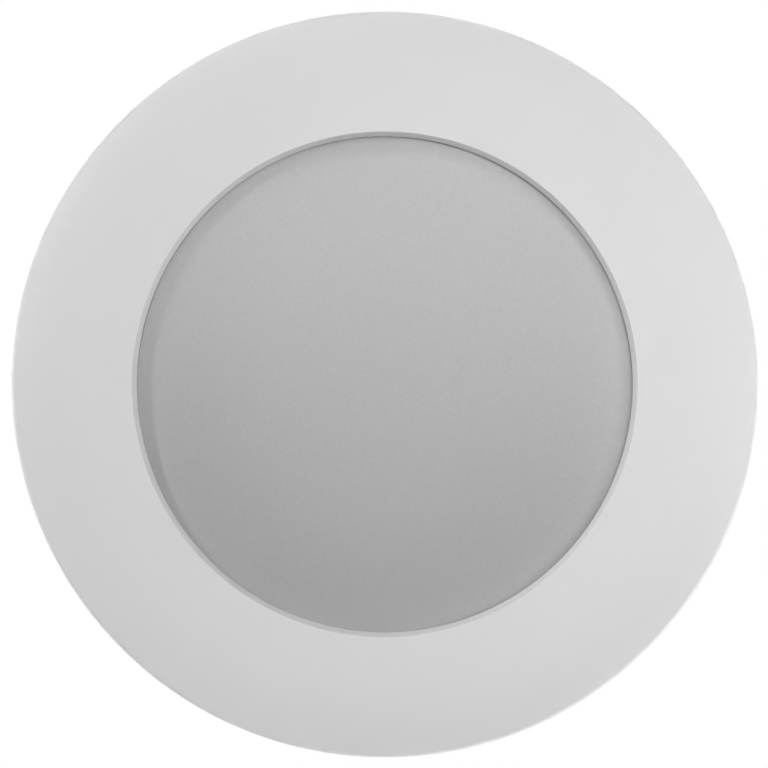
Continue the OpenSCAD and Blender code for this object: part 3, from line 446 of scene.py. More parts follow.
def drawnIn(outline, amount):
    # each corner moves inwards along its mitre: amount / cos(half the corner's turn)
    outline = np.asarray(outline, float)
    before, after = outline - np.roll(outline, 1, 0), np.roll(outline, -1, 0) - outline
    before /= np.linalg.norm(before, axis=1)[:, None]
    after /= np.linalg.norm(after, axis=1)[:, None]
    x, y = outline[:, 0], outline[:, 1]
    handed = np.sign(np.sum(x * np.roll(y, -1) - np.roll(x, -1) * y))
    inwards = handed * np.column_stack([-(before + after)[:, 1], (before + after)[:, 0]])
    inwards /= np.linalg.norm(inwards, axis=1)[:, None]
    mitre = np.clip(np.abs(np.sum(inwards * np.column_stack([-after[:, 1], after[:, 0]]), axis=1)), 0.35, 1)
    return outline + inwards * (amount / mitre)[:, None]


def easedPlate(outline, low, high, ease, steps=3):
    # an outline carried from low to high; near each end it draws in along a quarter circle
    a = np.linspace(0, pi / 2, steps + 1)
    inset, rise = ease * (1 - np.sin(a)), ease * (1 - np.cos(a))
    levels = np.concatenate([low + rise, (high - rise)[::-1]])
    insets = np.concatenate([inset, inset[::-1]])
    return carried([np.column_stack([drawnIn(outline, amount), np.full(len(outline), z)])
                    for z, amount in zip(levels, insets)])


def moved(shell, swap=None, by=(0, 0, 0), turn=0):
    # a shell with its axes reordered, shifted, then turned about Z
    points, faces = shell
    points = np.asarray(points, float)
    if swap:
        points = np.column_stack([points[:, abs(k) - 1] * (1 if k > 0 else -1) for k in swap])
    return spun(points + np.array(by), turn), faces


def threaded(s, low, high):
    # thread: radius = root + depth * triangle wave of (height / pitch - angle / full turn)
    rows = max(int((high - low) / s["pitch"] * 5), 4)
    z = np.linspace(low, high, rows + 1)[:, None]
    t = np.linspace(0, 2 * pi, s["around"], endpoint=False)[None, :]
    wave = np.abs(((z / s["pitch"] - t / (2 * pi)) % 1) * 2 - 1)
    ends = np.clip(np.minimum(z - low, high - z) / s["pitch"], 0, 1)
    radius = s["radius"] - s["depth"] * (1 - wave * ends)
    return np.stack([radius * np.cos(t), radius * np.sin(t), z + 0 * t], -1)


# shares of the screw's size, apart from the numbers of steps and the edge (mm)
screwShape = dict(head=0.9, headHigh=0.55, crown=0.55, socket=0.42, socketFloor=0.42, under=0.4, edge=0.1,
                  threadDeep=0.09, threads=6, tip=0.6, around=48, shankAround=20)


def panScrew(size, length, s=screwShape):
    # head: rows that change from a circle to the socket's hexagon and sink into it; shank: thread
    headR, headH, socket, edge = size * s["head"], size * s["headHigh"], size * s["socket"], s["edge"]
    t = np.linspace(0, 2 * pi, s["around"], endpoint=False)
    hexagon = socket * math.cos(pi / 6) / np.cos((t % (pi / 3)) - pi / 6)
    bend = headH * s["crown"]
    outside = [(size * s["under"], 0), (headR - edge, 0), (headR, edge)]
    outside += arcPoints((headR - bend, headH - bend), bend, 0, 88, 6).tolist()
    rows = [(np.full(s["around"], r), z) for r, z in outside]
    rows += [(hexagon + edge, headH), (hexagon, headH - edge), (hexagon, headH * s["socketFloor"]),
             (hexagon * 0.8, headH * 0.36), (hexagon * 0, headH * 0.28)]
    head = [np.column_stack([r * np.cos(t), r * np.sin(t), np.full(s["around"], z)]) for r, z in rows]
    thread = dict(radius=size / 2, depth=size * s["threadDeep"], pitch=size / s["threads"],
                  around=s["shankAround"])
    shank = threaded(thread, -length, 0.02)
    tip = shank[:1] * (s["tip"], s["tip"], 1)
    return joined([carried(head), carried(np.concatenate([tip, shank]))])


pivot = np.array([29.6, 0, 24.5])
armDrop = math.radians(58)


def onPivot(shell, side):
    # a shell built round the pin, moved to the pivot on the right (side 1) or the left (side -1)
    points, faces = shell
    return spun(points + pivot, 0 if side > 0 else 180), faces


def onArm(shell, side):
    # the arm's own frame (along, across, away from the soffit), tipped down by its drop at the pivot
    points, faces = shell
    along, across, away = np.asarray(points, float).T
    tipped = np.column_stack([along * math.cos(armDrop) + away * math.sin(armDrop), across,
                              -along * math.sin(armDrop) + away * math.cos(armDrop)])
    return onPivot((tipped, faces), side)


# Gaskets, pad, grommet and wires, which the housing mostly hides

lensGasketSettings = dict(inner=30.05, web=31.25, outer=31.95, low=-2.6, lensLow=-1.8, lensHigh=1.2, high=2.0,
                          ease=0.05, steps=192)


def lensGasketProfile(s):
    # U section open towards the axis, its two inner corners cut off
    inner, web, outer, e = s["inner"], s["web"], s["outer"], s["ease"]
    return [[inner, s["low"] + e], [inner + e, s["low"]], [outer, s["low"]], [outer, s["high"]],
            [inner + e, s["high"]], [inner, s["high"] - e], [inner, s["lensHigh"]], [web, s["lensHigh"]],
            [web, s["lensLow"]], [inner, s["lensLow"]]]


makePiece("lensGasket", turned(lensGasketProfile(lensGasketSettings), lensGasketSettings["steps"], loop=True),
          "grey_silicone", "lens_gasket")

eyeletSettings = dict(inner=1.7, outer=2.6, shy=0.01, steps=40)
screwedGaskets = dict(
    bodyGasket=dict(node="body_gasket", inner=32.2, outer=33.5, low=11.0, high=11.8, ease=0.15, steps=192,
                    eyeCentre=29.9, eyes=(90, 210, 330)),
    rearCoverGasket=dict(node="rear_cover_gasket", inner=19.5, outer=21.3, low=43.0, high=43.8, ease=0.2,
                         steps=160, eyeCentre=17.3, eyes=(30, 150, 270)),
)


def eyelet(s, low, high, centre, degrees):
    # a flat ring round a screw, away from the axis, a little thinner than its gasket
    low, high = low + s["shy"], high - s["shy"]
    section = [[s["inner"], low], [s["outer"], low], [s["outer"], high], [s["inner"], high]]
    return moved(turned(section, s["steps"], loop=True), by=(centre, 0, 0), turn=degrees)


for gasketName, gasket in screwedGaskets.items():
    eyes = [eyelet(eyeletSettings, gasket["low"], gasket["high"], gasket["eyeCentre"], angle)
            for angle in gasket["eyes"]]
    makePiece(gasketName, joined([easedRing(gasket)] + eyes), nodeSlot[gasket["node"]], gasket["node"])

padSettings = dict(radius=21.0, low=11.3, high=11.8, easeIn=0.15, easeUp=0.1, steps=96)


def padProfile(s):
    # a thin disc with its edge cut off above and below
    r, low, high = s["radius"], s["low"], s["high"]
    return [[0, low], [r - s["easeIn"], low], [r, low + s["easeUp"]], [r, high - s["easeUp"]],
            [r - s["easeIn"], high], [0, high]]


makePiece("thermalPad", turned(padProfile(padSettings), padSettings["steps"]), nodeSlot["thermal_pad"],
          "thermal_pad")

grommetSettings = dict(centre=11.25, bore=2.0, neck=2.55, rim=3.6, low=11.8, seat=15.3, top=16.3, ease=0.2,
                       rimFall=0.3, topFall=0.05, steps=48)


def grommetProfile(s):
    # a sleeve through the floor with a rim on it, the rim's corners cut off
    bore, rim, e = s["bore"], s["rim"], s["ease"]
    return [[bore, s["low"]], [s["neck"], s["low"]], [s["neck"], s["seat"]], [rim - e, s["seat"]],
            [rim, s["seat"] + e], [rim, s["top"] - s["rimFall"]], [rim - e, s["top"] - s["topFall"]],
            [bore + e, s["top"]], [bore, s["top"] - e]]


grommet = turned(grommetProfile(grommetSettings), grommetSettings["steps"], loop=True)
makePiece("wireGrommet", moved(grommet, by=(grommetSettings["centre"], 0, 0)), nodeSlot["wire_grommet"],
          "wire_grommet")

wireSettings = dict(x=11.25, apart=1.0, radius=0.75, bend=1.6, lowZ=8.9, topZ=22.0, firstDrop=5.0, endX=7.8,
                    sides=16)


def ledWire(s, side):
    # down from the driver board, a quarter turn inwards, and along under the LED board
    bendZ = s["lowZ"] + s["bend"]
    path = np.vstack([[[s["x"], s["topZ"]], [s["x"], s["topZ"] - s["firstDrop"]], [s["x"], bendZ + 1]],
                      arcPoints((s["x"] - s["bend"], bendZ), s["bend"], 0, -90, 10),
                      [[s["endX"] + 1, s["lowZ"]], [s["endX"], s["lowZ"]]]])
    path = np.column_stack([path[:, 0], np.full(len(path), side * s["apart"]), path[:, 1]])
    return tube(path, s["radius"], s["sides"], (0, 1, 0))


makePiece("redLead", ledWire(wireSettings, 1), nodeSlot["led_wire_red"], "led_wire_red")
makePiece("blackLead", ledWire(wireSettings, -1), nodeSlot["led_wire_black"], "led_wire_black")
print("gaskets, pad, grommet and wires made")

# Heat sink

sinkSettings = dict(lowZ=11.8, floorZ=15.3, rim=33.8, cup=21.5, cupIn=19.5, cupTop=43.0, lowEdge=0.3,
                    topEdge=0.5, outFillet=1.1, inFillet=1.0, cupEdge=0.3, cupInEdge=0.2, steps=288)
finSettings = dict(places=30, clearOfClip=0.326, floorZ=sinkSettings["floorZ"], top=40.3,
                   tip=sinkSettings["rim"], cup=sinkSettings["cup"], shoulder=9.0, rootThick=1.7,
                   tipThick=1.1, draft=0.16, draftOver=25, rooted=0.4, rootIn=0.6,
                   thinnest=0.1, cupFillet=0.55, cupFilletRun=1.3, foot=0.7, footRun=1.1, topEase=0.2,
                   topEaseRun=0.04, straightFrom=17.5, wellAngles=(90, 210, 330), wellCentre=29.9,
                   wellRadius=3.0, wellNear=6,
                   footRows=(0, 0.45, 0.6, 0.8, 1.1), footIn=(0.5, 0.35, 0.22, 0.1, 0.02),
                   columns=(0, 0.03, 0.06, 0.1, 0.15, 0.22, 0.32, 0.42))
clipPads = (dict(inner=20.3, face=25.2, half=7.26, corner=0.5, low=14.9, high=39.9, ease=0.35),
            dict(inner=20.3, face=25.9, half=7.96, corner=1.0, low=14.9, high=15.75, ease=0.4))
screwBosses = (dict(radius=2.6, low=15.0, high=42.98, centre=17.3, angles=(30, 150, 270)),
               dict(radius=2.55, low=15.0, high=22.0, centre=15.85, angles=(90, 210, 330)))


def sinkBody(s):
    # floor and cup in one turned profile, with fillets where they meet and eased rims
    low, top, out, into = s["lowEdge"], s["topEdge"], s["outFillet"], s["inFillet"]
    cupEdge, cupInEdge = s["cupEdge"], s["cupInEdge"]
    return turned(np.vstack([
        [[0, s["lowZ"]], [s["rim"] - low, s["lowZ"]]],
        arcPoints((s["rim"] - low, s["lowZ"] + low), low, 300, 360, 3),
        arcPoints((s["rim"] - top, s["floorZ"] - top), top, 0, 90, 5),
        arcPoints((s["cup"] + out, s["floorZ"] + out), out, 270, 180, 6),
        arcPoints((s["cup"] - cupEdge, s["cupTop"] - cupEdge), cupEdge, 0, 90, 4),
        arcPoints((s["cupIn"] + cupInEdge, s["cupTop"] - cupInEdge), cupInEdge, 90, 180, 3),
        arcPoints((s["cupIn"] - into, s["floorZ"] + into), into, 360, 270, 5),
        [[0, s["floorZ"]]]]), s["steps"])


def coolingFin(s, degrees):
    # half thickness = straight taper from root to tip, less draft upwards, plus a concave fillet at the
    # cup and one at the floor; a side next to a screw's well is held clear of the well's circle; the tip is
    # an arc as wide as the fin is there, and the shoulder a quarter circle seen from the side
    shoulderZ, left = s["top"] - s["shoulder"], s["cup"] - s["rootIn"]
    z = np.concatenate([s["floorZ"] - s["rooted"] + np.array(s["footRows"]),
                        np.linspace(s["straightFrom"], shoulderZ, 6),
                        shoulderZ + s["shoulder"] * np.sin(np.radians(np.linspace(6, 84, 14))),
                        [s["top"] - s["topEaseRun"], s["top"]]])
    rise = np.clip((z - shoulderZ) / s["shoulder"], 0, 1)
    reach = s["tip"] - s["shoulder"] + s["shoulder"] * np.sqrt(1 - rise ** 2)
    reach[:len(s["footIn"])] -= s["footIn"]
    share = np.concatenate([s["columns"], np.linspace(0.5, 0.86, 15), [0.92]])
    x = left + (reach[:, None] - left) * share[None, :]
    taper = s["rootThick"] + (s["tipThick"] - s["rootThick"]) * (x - left) / (s["tip"] - left)
    atCup = s["cupFillet"] * np.clip(1 - (x - s["cup"]) / s["cupFilletRun"], 0, 1) ** 2
    atFloor = s["foot"] * np.clip(1 - (z - s["floorZ"]) / s["footRun"], 0, 1)[:, None] ** 2
    half = taper / 2 - s["draft"] * ((z - s["floorZ"]) / s["draftOver"])[:, None] * 0.5 + atCup + atFloor
    half[-1] -= s["topEase"]
    sides = []
    for sign in (-1, 1):
        edge = half.copy()
        for well in s["wellAngles"]:
            offset = math.radians((well - degrees + 180) % 360 - 180)
            wellX, wellY = s["wellCentre"] * math.cos(offset), s["wellCentre"] * math.sin(offset)
            if abs(wellY) < s["wellNear"] and wellX > 0 and wellY * sign > 0:
                clear = np.sqrt(np.clip(s["wellRadius"] ** 2 - (x - wellX) ** 2, 0, None))
                edge = np.minimum(edge, abs(wellY) - clear)
        sides.append(np.maximum(edge, s["thinnest"]) * sign)
    tipHalf = (np.abs(sides[0][:, -1:]) + np.abs(sides[1][:, -1:])) / 2
    a = np.radians(np.linspace(-75, 75, 7))[None, :]
    xs = np.concatenate([x, reach[:, None] - tipHalf * (1 - np.cos(a)), x[:, ::-1]], axis=1)
    ys = np.concatenate([sides[0], tipHalf * np.sin(a), sides[1][:, ::-1]], axis=1)
    points, faces = carried(np.stack([xs, ys, np.broadcast_to(z[:, None], xs.shape)], -1))
    return spun(points, degrees), faces


sinkShells = [sinkBody(sinkSettings)]
for place in range(finSettings["places"]):
    angle = place * 360 / finSettings["places"]
    if abs(math.sin(math.radians(angle))) > finSettings["clearOfClip"]:
        sinkShells.append(coolingFin(finSettings, angle))
for turnDeg in (0, 180):
    for pad in clipPads:
        outline = roundedBox(pad["inner"], pad["face"], -pad["half"], pad["half"], pad["corner"])
        sinkShells.append(moved(easedPlate(outline, pad["low"], pad["high"], pad["ease"]), turn=turnDeg))
roundOutline = arcPoints((0, 0), 1, 0, 350, 35)
for boss in screwBosses:
    post = drawn(roundOutline * boss["radius"], boss["low"], boss["high"])
    sinkShells += [moved(post, by=(boss["centre"], 0, 0), turn=a) for a in boss["angles"]]
makePiece("heatSink", joined(sinkShells), "cast_aluminium", "heat_sink", sharp=40)
print("heat sink made")

# Cable gland

glandSettings = dict(corner=11.547, baseZ=51.0, neckZ=55.0, cut=1.9, past=0.3, slope=0.45, rows=12,
                     bodyLow=43.85, thread=dict(radius=7.95, depth=0.3, pitch=1.5, around=64),
                     neckThread=dict(radius=7.4, depth=0.35, pitch=1.5, around=64), overlap=0.2,
                     clawIn=5.65, clawOut=6.9, clawZ=61.5, clawTop=65.0, clawEase=0.4, clawRooted=0.1,
                     clawSteps=64, around=192)
nutSettings = dict(corner=glandSettings["corner"], nutZ=55.8, cut=1.9, past=0.25, slope=0.45, rows=12,
                   domeZ=63.0, dome=5.4, domeFrom=40, domeTo=84, hexEnd=1.0, shoulderOut=0.2,
                   shoulderUp=2.2, mouth=5.1, topZ=68.4,
                   mouthLead=0.55, mouthBend=(0.16, 0.12), mouthDeep=0.5, sealTop=66.4, sealSpare=0.1,
                   inner=7.45, innerTop=65.0, innerMouth=7.8, innerLead=0.3, around=192)
sealSettings = dict(bore=3.1, outer=5.6, low=56.0, high=65.0, shoulder=(4.7, 66.1), shoulderRound=0.3,
                    mouth=(3.45, 66.05), mouthRound=0.35, steps=96)


def hexTurned(rows, corner, around, eased=0.18):
    # radius = the smaller of the hexagon's own radius at that angle and the row's radius, eased where
    # the two cross
    t = np.linspace(0, 2 * pi, around, endpoint=False)
    hexagon = corner * math.cos(pi / 6) / np.cos((t % (pi / 3)) - pi / 6)
    rows = np.asarray(rows, float)
    gap = (hexagon[None, :] - rows[:, :1]) / eased
    blend = np.where(np.abs(gap) < 1, eased * (1 - np.abs(gap)) ** 2 / 4, 0)
    radius = np.minimum(hexagon[None, :], rows[:, :1]) - blend
    return np.stack([radius * np.cos(t), radius * np.sin(t), rows[:, 1:] + 0 * t], -1)


def glandBase(s):
    # the fixed half: thread in the cover, hexagon with its corners turned back, neck thread, claws
    out = s["corner"] + np.linspace(-s["cut"], s["past"], s["rows"])
    rise = np.linspace(0, (s["cut"] + s["past"]) * s["slope"], s["rows"])
    hexRows = np.vstack([np.column_stack([out, s["baseZ"] + rise]),
                         np.column_stack([out, s["neckZ"] - rise])[::-1]])
    low = threaded(s["thread"], s["bodyLow"], s["baseZ"] + s["overlap"])
    high = threaded(s["neckThread"], s["neckZ"] - s["overlap"], s["clawZ"])
    clawIn, clawOut, clawTop = s["clawIn"], s["clawOut"], s["clawTop"]
    clawLow = s["clawZ"] - s["clawRooted"]
    claws = turned([[clawIn, clawLow], [clawOut, clawLow], [clawOut, clawTop - s["clawEase"]],
                    [clawOut - s["clawEase"], clawTop], [clawIn, clawTop]], s["clawSteps"], loop=True)
    return joined([carried(hexTurned(hexRows, s["corner"], s["around"])), carried(low), carried(high), claws])


def glandCap(s):
    # the nut: hexagon below, dome above, and the mouth that the cable goes through
    domeX = s["corner"] - s["dome"] * math.cos(math.radians(s["domeFrom"]))
    dome = arcPoints((domeX, s["domeZ"]), s["dome"], s["domeFrom"], s["domeTo"], 12)
    widest, mouth = s["corner"] + s["past"], s["mouth"]
    chamferTop = s["nutZ"] + (s["cut"] + s["past"]) * s["slope"]
    outside = np.linspace([s["corner"] - s["cut"], s["nutZ"]], [widest, chamferTop], s["rows"])
    shoulder = [s["corner"] + s["shoulderOut"], s["domeZ"] + s["shoulderUp"]]
    upwards = np.linspace(shoulder, dome[0], 3)[:-1]
    bendOut, bendDown = s["mouthBend"]
    inside = [[mouth + s["mouthLead"], s["topZ"]], [mouth + bendOut, s["topZ"] - bendDown],
              [mouth, s["topZ"] - s["mouthDeep"]], [mouth, s["sealTop"] + s["sealSpare"]],
              [s["inner"], s["innerTop"]], [s["inner"], s["nutZ"] + s["innerLead"]],
              [s["innerMouth"], s["nutZ"]]]
    rows = np.vstack([outside, [[widest, s["domeZ"] + s["hexEnd"]]], upwards, dome, inside])
    points = hexTurned(rows, s["corner"], s["around"])
    return points.reshape(-1, 3), gridFaces(len(rows), s["around"], wrapRows=True, wrapColumns=True).tolist()


def sealProfile(s):
    # a sleeve with its two top corners rounded
    return np.vstack([[[s["bore"], s["low"]], [s["outer"], s["low"]], [s["outer"], s["high"]]],
                      arcPoints(s["shoulder"], s["shoulderRound"], 25, 90, 4),
                      arcPoints(s["mouth"], s["mouthRound"], 90, 180, 4)])


makePiece("glandBody", glandBase(glandSettings), "black_nylon", "gland_body", sharp=24)
makePiece("glandNut", glandCap(nutSettings), "black_nylon", "gland_nut", sharp=24)
makePiece("glandSeal", turned(sealProfile(sealSettings), sealSettings["steps"], loop=True),
          nodeSlot["gland_seal"], "gland_seal")
print("gland made")

# Screws of the housing, each kind in a ring round the axis

screwSettings = dict(
    bodyScrews=dict(node="body_screws", size=3.0, length=7.3, centre=29.9, z=15.3,
                    angles=(90, 210, 330)),
    rearCoverScrews=dict(node="rear_cover_screws", size=3.0, length=9.3, centre=17.3, z=46.3,
                         angles=(30, 150, 270)),
    ledBoardScrews=dict(node="led_board_screws", size=2.5, length=4.3, centre=11.25, z=9.7,
                        angles=(60, 180, 300), swap=(1, -2, -3)),
    driverScrews=dict(node="driver_screws", size=2.5, length=5.8, centre=15.85, z=23.6,
                      angles=(90, 210, 330)),
)

for screwName, s in screwSettings.items():
    screw = panScrew(s["size"], s["length"])
    place = (s["centre"], 0, s["z"])
    screws = [moved(screw, swap=s.get("swap"), by=place, turn=angle) for angle in s["angles"]]
    makePiece(screwName, joined(screws), nodeSlot[s["node"]], s["node"])
print("housing's screws made")

# Spring clips

bracketSettings = dict(plateX=-4.4, sheet=1.2, earIn=6.06, earOut=7.26, bend=1.8, ear=3.1, earSoft=0.3,
                       lowZ=-7.8, highZ=15.4, earLow=-4.3, earHigh=5.5, tabReach=3.5, tabHalf=3.5,
                       tabThick=1.1, tabNose=0.25, tabRooted=0.3, tabEase=0.15, fillet=0.8, ease=0.16)


def bracketShell(s):
    # the folded sheet seen from above, a U, carried upwards; its ears reach out to the ear's outline at
    # each height: a half circle round the pin, and straight flanks back to the bends
    low, high, e, ear, soft = s["lowZ"], s["highZ"], s["ease"], s["ear"], s["earSoft"]
    bendEnd = s["plateX"] + s["bend"]
    a = np.linspace(0, pi / 2, 4)
    rise, drawIn = e * (1 - np.cos(a)), e * (1 - np.sin(a))
    z = np.concatenate([low + rise, [s["earLow"] - 0.01], np.linspace(s["earLow"], -ear, 5),
                        -ear * np.cos(np.linspace(0.12, pi - 0.12, 26)), np.linspace(ear, s["earHigh"], 5),
                        [s["earHigh"] + 0.01], (high - rise)[::-1]])
    inset = np.zeros(len(z))
    inset[:4], inset[-4:] = drawIn, drawIn[::-1]
    flank = np.where(z > 0, (z - ear) / (s["earHigh"] - ear), (-ear - z) / (-ear - s["earLow"])) * bendEnd
    reach = np.where(np.abs(z) < ear, np.sqrt(np.clip(ear ** 2 - z ** 2, 0, None)), flank)
    reach = np.maximum(np.minimum(reach, ear), bendEnd + 0.02)
    sections = []
    for level, draw, tip in zip(z, inset, reach):
        outer, inner = s["earOut"] - draw, s["earIn"] + draw
        outX, inX = s["plateX"] + draw, s["plateX"] + s["sheet"] - draw
        outEnd, inEnd = np.tile([[tip, outer]], (4, 1)), np.tile([[tip, inner]], (4, 1))
        if tip > bendEnd + 0.7:
            outEnd = arcPoints((tip - soft, outer - soft), soft, 90, 0, 3)
            inEnd = arcPoints((tip - soft, inner + soft), soft, 0, -90, 3)
        half = np.vstack([
            [[outX, 0]], arcPoints((bendEnd, outer - (bendEnd - outX)), bendEnd - outX, 180, 90, 8),
            [[(bendEnd + tip) / 2, outer]], outEnd, inEnd, [[(bendEnd + tip) / 2, inner]],
            arcPoints((bendEnd, inner - (bendEnd - inX)), bendEnd - inX, 90, 180, 6), [[inX, 0]]])
        whole = np.vstack([half, (half * (1, -1))[::-1][1:-1]])
        sections.append(np.column_stack([whole, np.full(len(whole), level)]))
    return carried(sections)


def stopTab(s):
    # the tab folded out at the bracket's foot, its inner corner filleted, carried across
    rootX, low, thick = s["plateX"] + s["sheet"], s["lowZ"], s["tabThick"]
    fillet, nose = s["fillet"], s["tabNose"]
    outline = np.vstack([
        [[rootX - s["tabRooted"], low + 2 * thick], [rootX - s["tabRooted"], low + 0.05]],
        arcPoints((s["tabReach"] - nose, low + nose), nose, 270, 360, 3),
        arcPoints((s["tabReach"] - nose, low + thick - nose), nose, 0, 90, 3),
        arcPoints((rootX + fillet, low + thick + fillet), fillet, 270, 180, 5)])
    return moved(easedPlate(outline, -s["tabHalf"], s["tabHalf"], s["tabEase"]), swap=(1, -3, 2))


armSettings = dict(start=6.4, neck=13.6, sleeve=14.6, tip=23.6, sheet=1.0, flangeIn=4.66, flangeOut=5.66,
                   tipHalf=4.61, ear=2.95, earLow=0.5, earLowRun=7.4, riseFrom=9.35, rise=2.1,
                   flangeEnd=13.1, tipRound=2.0, tipSpare=0.05, bendFrom=12.6, bendTo=13.4, bend=0.75,
                   edge=0.16, ease=0.14, level=(7.0, 9.3), sinking=(9.5, 13.0), beforeNeck=13.5, middle=18.0,
                   inBend=0.2)


def armPlate(s):
    # the arm's cross section, a U with a rounded outer corner, carried along the arm; the flanges sink
    # to the plate's top and the plate narrows to the tip, which ends in two rounded corners
    t, e, tipRound = s["sheet"] / 2, s["ease"], s["tipRound"]
    roundFrom = s["tip"] - tipRound - s["tipSpare"]
    stations = np.concatenate([
        [s["start"], s["start"] + 0.1], np.linspace(*s["level"], 4), np.linspace(*s["sinking"], 6),
        [s["flangeEnd"], s["beforeNeck"], s["neck"]], np.linspace(s["neck"] + 0.1, s["sleeve"] - 0.05, 5),
        [s["middle"], roundFrom - 0.05], roundFrom + tipRound * np.sin(np.radians(np.linspace(0, 84, 9)))])
    top = np.interp(stations, [0, s["riseFrom"], s["flangeEnd"]], [s["ear"], s["rise"], t])
    half = np.interp(stations, [s["neck"], s["sleeve"] - 0.05], [s["flangeOut"], s["tipHalf"]])
    past = np.clip(stations - roundFrom, 0, tipRound - 0.005)
    half = half - (tipRound - np.sqrt(tipRound ** 2 - past ** 2))
    wall = np.where(stations < s["flangeEnd"], s["flangeOut"] - s["flangeIn"], 0.5)
    corner = np.interp(stations, [s["bendFrom"], s["bendTo"]], [s["bend"], s["edge"]])
    sections = []
    for along, high, side, thick, r in zip(stations, top, half, wall, corner):
        rim, inside, inBend = high - t, side - thick, s["inBend"]
        part = np.vstack([
            [[0, -t]], arcPoints((side - r, -t + r), r, 270, 360, 6),
            arcPoints((side - e, high - e), e, 0, 90, 3),
            [[inside + e, high], [inside, high - min(e, rim)], [inside, t + min(inBend, rim)],
             [inside - min(inBend, rim), t], [0, t]]])
        whole = np.vstack([part, (part * (-1, 1))[::-1][1:-1]])
        sections.append(np.column_stack([np.full(len(whole), along), whole]))
    return carried(sections)


def armEar(s, sign):
    # one flange's free end: a rounded rectangle in section, as high at each place as the ear's outline
    ear = s["ear"]
    along = np.concatenate([-ear * np.cos(np.linspace(0.12, pi / 2, 12)), np.linspace(0.6, s["start"], 8)])
    high = np.where(along < 0, np.sqrt(np.clip(ear ** 2 - along ** 2, 0, None)),
                    ear + (s["rise"] - ear) * along / s["riseFrom"])
    low = np.where(along < 0, -high, -ear + (ear - s["earLow"]) * along / s["earLowRun"])
    sections = []
    for station, top, bottom in zip(along, high, low):
        y, z = roundedBox(s["flangeIn"], s["flangeOut"], bottom, top, s["ease"], 3).T
        sections.append(np.column_stack([np.full(len(y), station), y * sign, z]))
    return carried(sections)


sleeveSettings = dict(start=14.6, half=5.66, thick=1.5, startEase=0.25, ribsStart=15.0, ribsEnd=22.9,
                      roundFrom=23.1, ribFrom=15.9, ribTo=22.6, ribPitch=1.12, ribDeep=0.22, ribSharp=1.5,
                      around=64, flatSide=1.6, cavityHalf=4.66, cavityThick=0.52, cavityEnd=23.6,
                      cavitySquare=(1.5, 3.0))


def sleeveShell(s):
    # a slot-shaped section carried along the tip; groove depth = deep * (cosine wave's upper half) ^ sharp,
    # and a round end where the section draws in along a quarter circle; the inside follows the arm's tip;
    # there y = half * clip(stretch * cos a) and z = thickness * clip(stretch * sin a), clipped to -1 and 1
    quarter = np.linspace(0, pi / 2, 4)
    along = np.concatenate([s["start"] + s["startEase"] * (1 - np.cos(quarter)),
                            np.linspace(s["ribsStart"], s["ribsEnd"], 80),
                            s["roundFrom"] + s["thick"] * np.sin(np.radians(np.linspace(0, 88, 10)))])
    draw = np.zeros(len(along))
    draw[:4] = s["startEase"] * (1 - np.sin(quarter))
    past = np.clip(along - s["roundFrom"], 0, s["thick"])
    draw += s["thick"] - np.sqrt(s["thick"] ** 2 - past ** 2)
    wave = np.clip(np.cos(2 * pi * (along - s["ribFrom"]) / s["ribPitch"] + pi), 0, 1)
    inRibs = (along > s["ribFrom"]) & (along < s["ribTo"])
    draw += np.where(inRibs, s["ribDeep"] * wave ** s["ribSharp"], 0)
    a = np.linspace(0, 2 * pi, s["around"], endpoint=False)
    flatSide = np.sign(np.cos(a)) * np.clip(np.abs(np.cos(a)) * s["flatSide"], 0, 1)
    core = (s["half"] - s["thick"]) * flatSide
    radius = (s["thick"] - draw)[:, None]
    outside = np.stack([along[:, None] + 0 * a, core + radius * np.cos(a), radius * np.sin(a)], -1)
    stretchY, stretchZ = s["cavitySquare"]
    squareY = np.sign(np.cos(a)) * np.clip(np.abs(np.cos(a)) * stretchY, 0, 1) * s["cavityHalf"]
    squareZ = np.sign(np.sin(a)) * np.clip(np.abs(np.sin(a)) * stretchZ, 0, 1) * s["cavityThick"]
    inside = [np.stack([np.full(len(a), x), squareY * opened, squareZ * opened], -1)
              for x, opened in ((s["start"], 1), (s["cavityEnd"], 1), (s["cavityEnd"], 0))]
    return carried(np.concatenate([outside[::-1], inside]))


springSettings = dict(wire=0.45, coil=2.3, length=7.2283, fromDeg=184.24, sweepDeg=1858.0, fixedLeg=5.5,
                      armLeg=7.92, fixedTilt=4.24, armTilt=27.74, steps=210, sides=14)


def springShell(s):
    # wire round a helix: angle runs evenly over the sweep while the height across runs over the length;
    # the legs leave along the coil's tangents and their ends are rounded
    a = np.radians(np.linspace(s["fromDeg"], s["fromDeg"] + s["sweepDeg"], s["steps"]))
    across = s["length"] * (np.linspace(0, 1, s["steps"]) - 0.5)
    coil = np.column_stack([s["coil"] * np.cos(a), across, s["coil"] * np.sin(a)])
    tilt, drop = math.radians(s["fixedTilt"]), math.radians(s["armTilt"])
    up = np.array([-math.sin(tilt), 0, math.cos(tilt)])
    out = np.array([math.cos(drop), 0, -math.sin(drop)])
    quarter = np.linspace(0, pi / 2, 5)
    ends = s["wire"] * (1 - np.cos(quarter))
    fixed = np.concatenate([s["fixedLeg"] - ends, np.linspace(s["fixedLeg"] - 1, 0.5, 6)])
    free = np.concatenate([np.linspace(0.5, s["armLeg"] - 1, 8), (s["armLeg"] - ends)[::-1]])
    path = np.vstack([coil[0] + fixed[:, None] * up, coil, coil[-1] + free[:, None] * out])
    radius = np.full(len(path), s["wire"])
    radius[:5] = s["wire"] * np.maximum(np.sin(quarter), 0.12)
    radius[-5:] = radius[:5][::-1]
    return tube(path, radius, s["sides"], (0, 1, 0))


pinSettings = dict(radius=1.25, head=2.15, inner=7.26, end=8.26, headRound=0.6, steps=48)


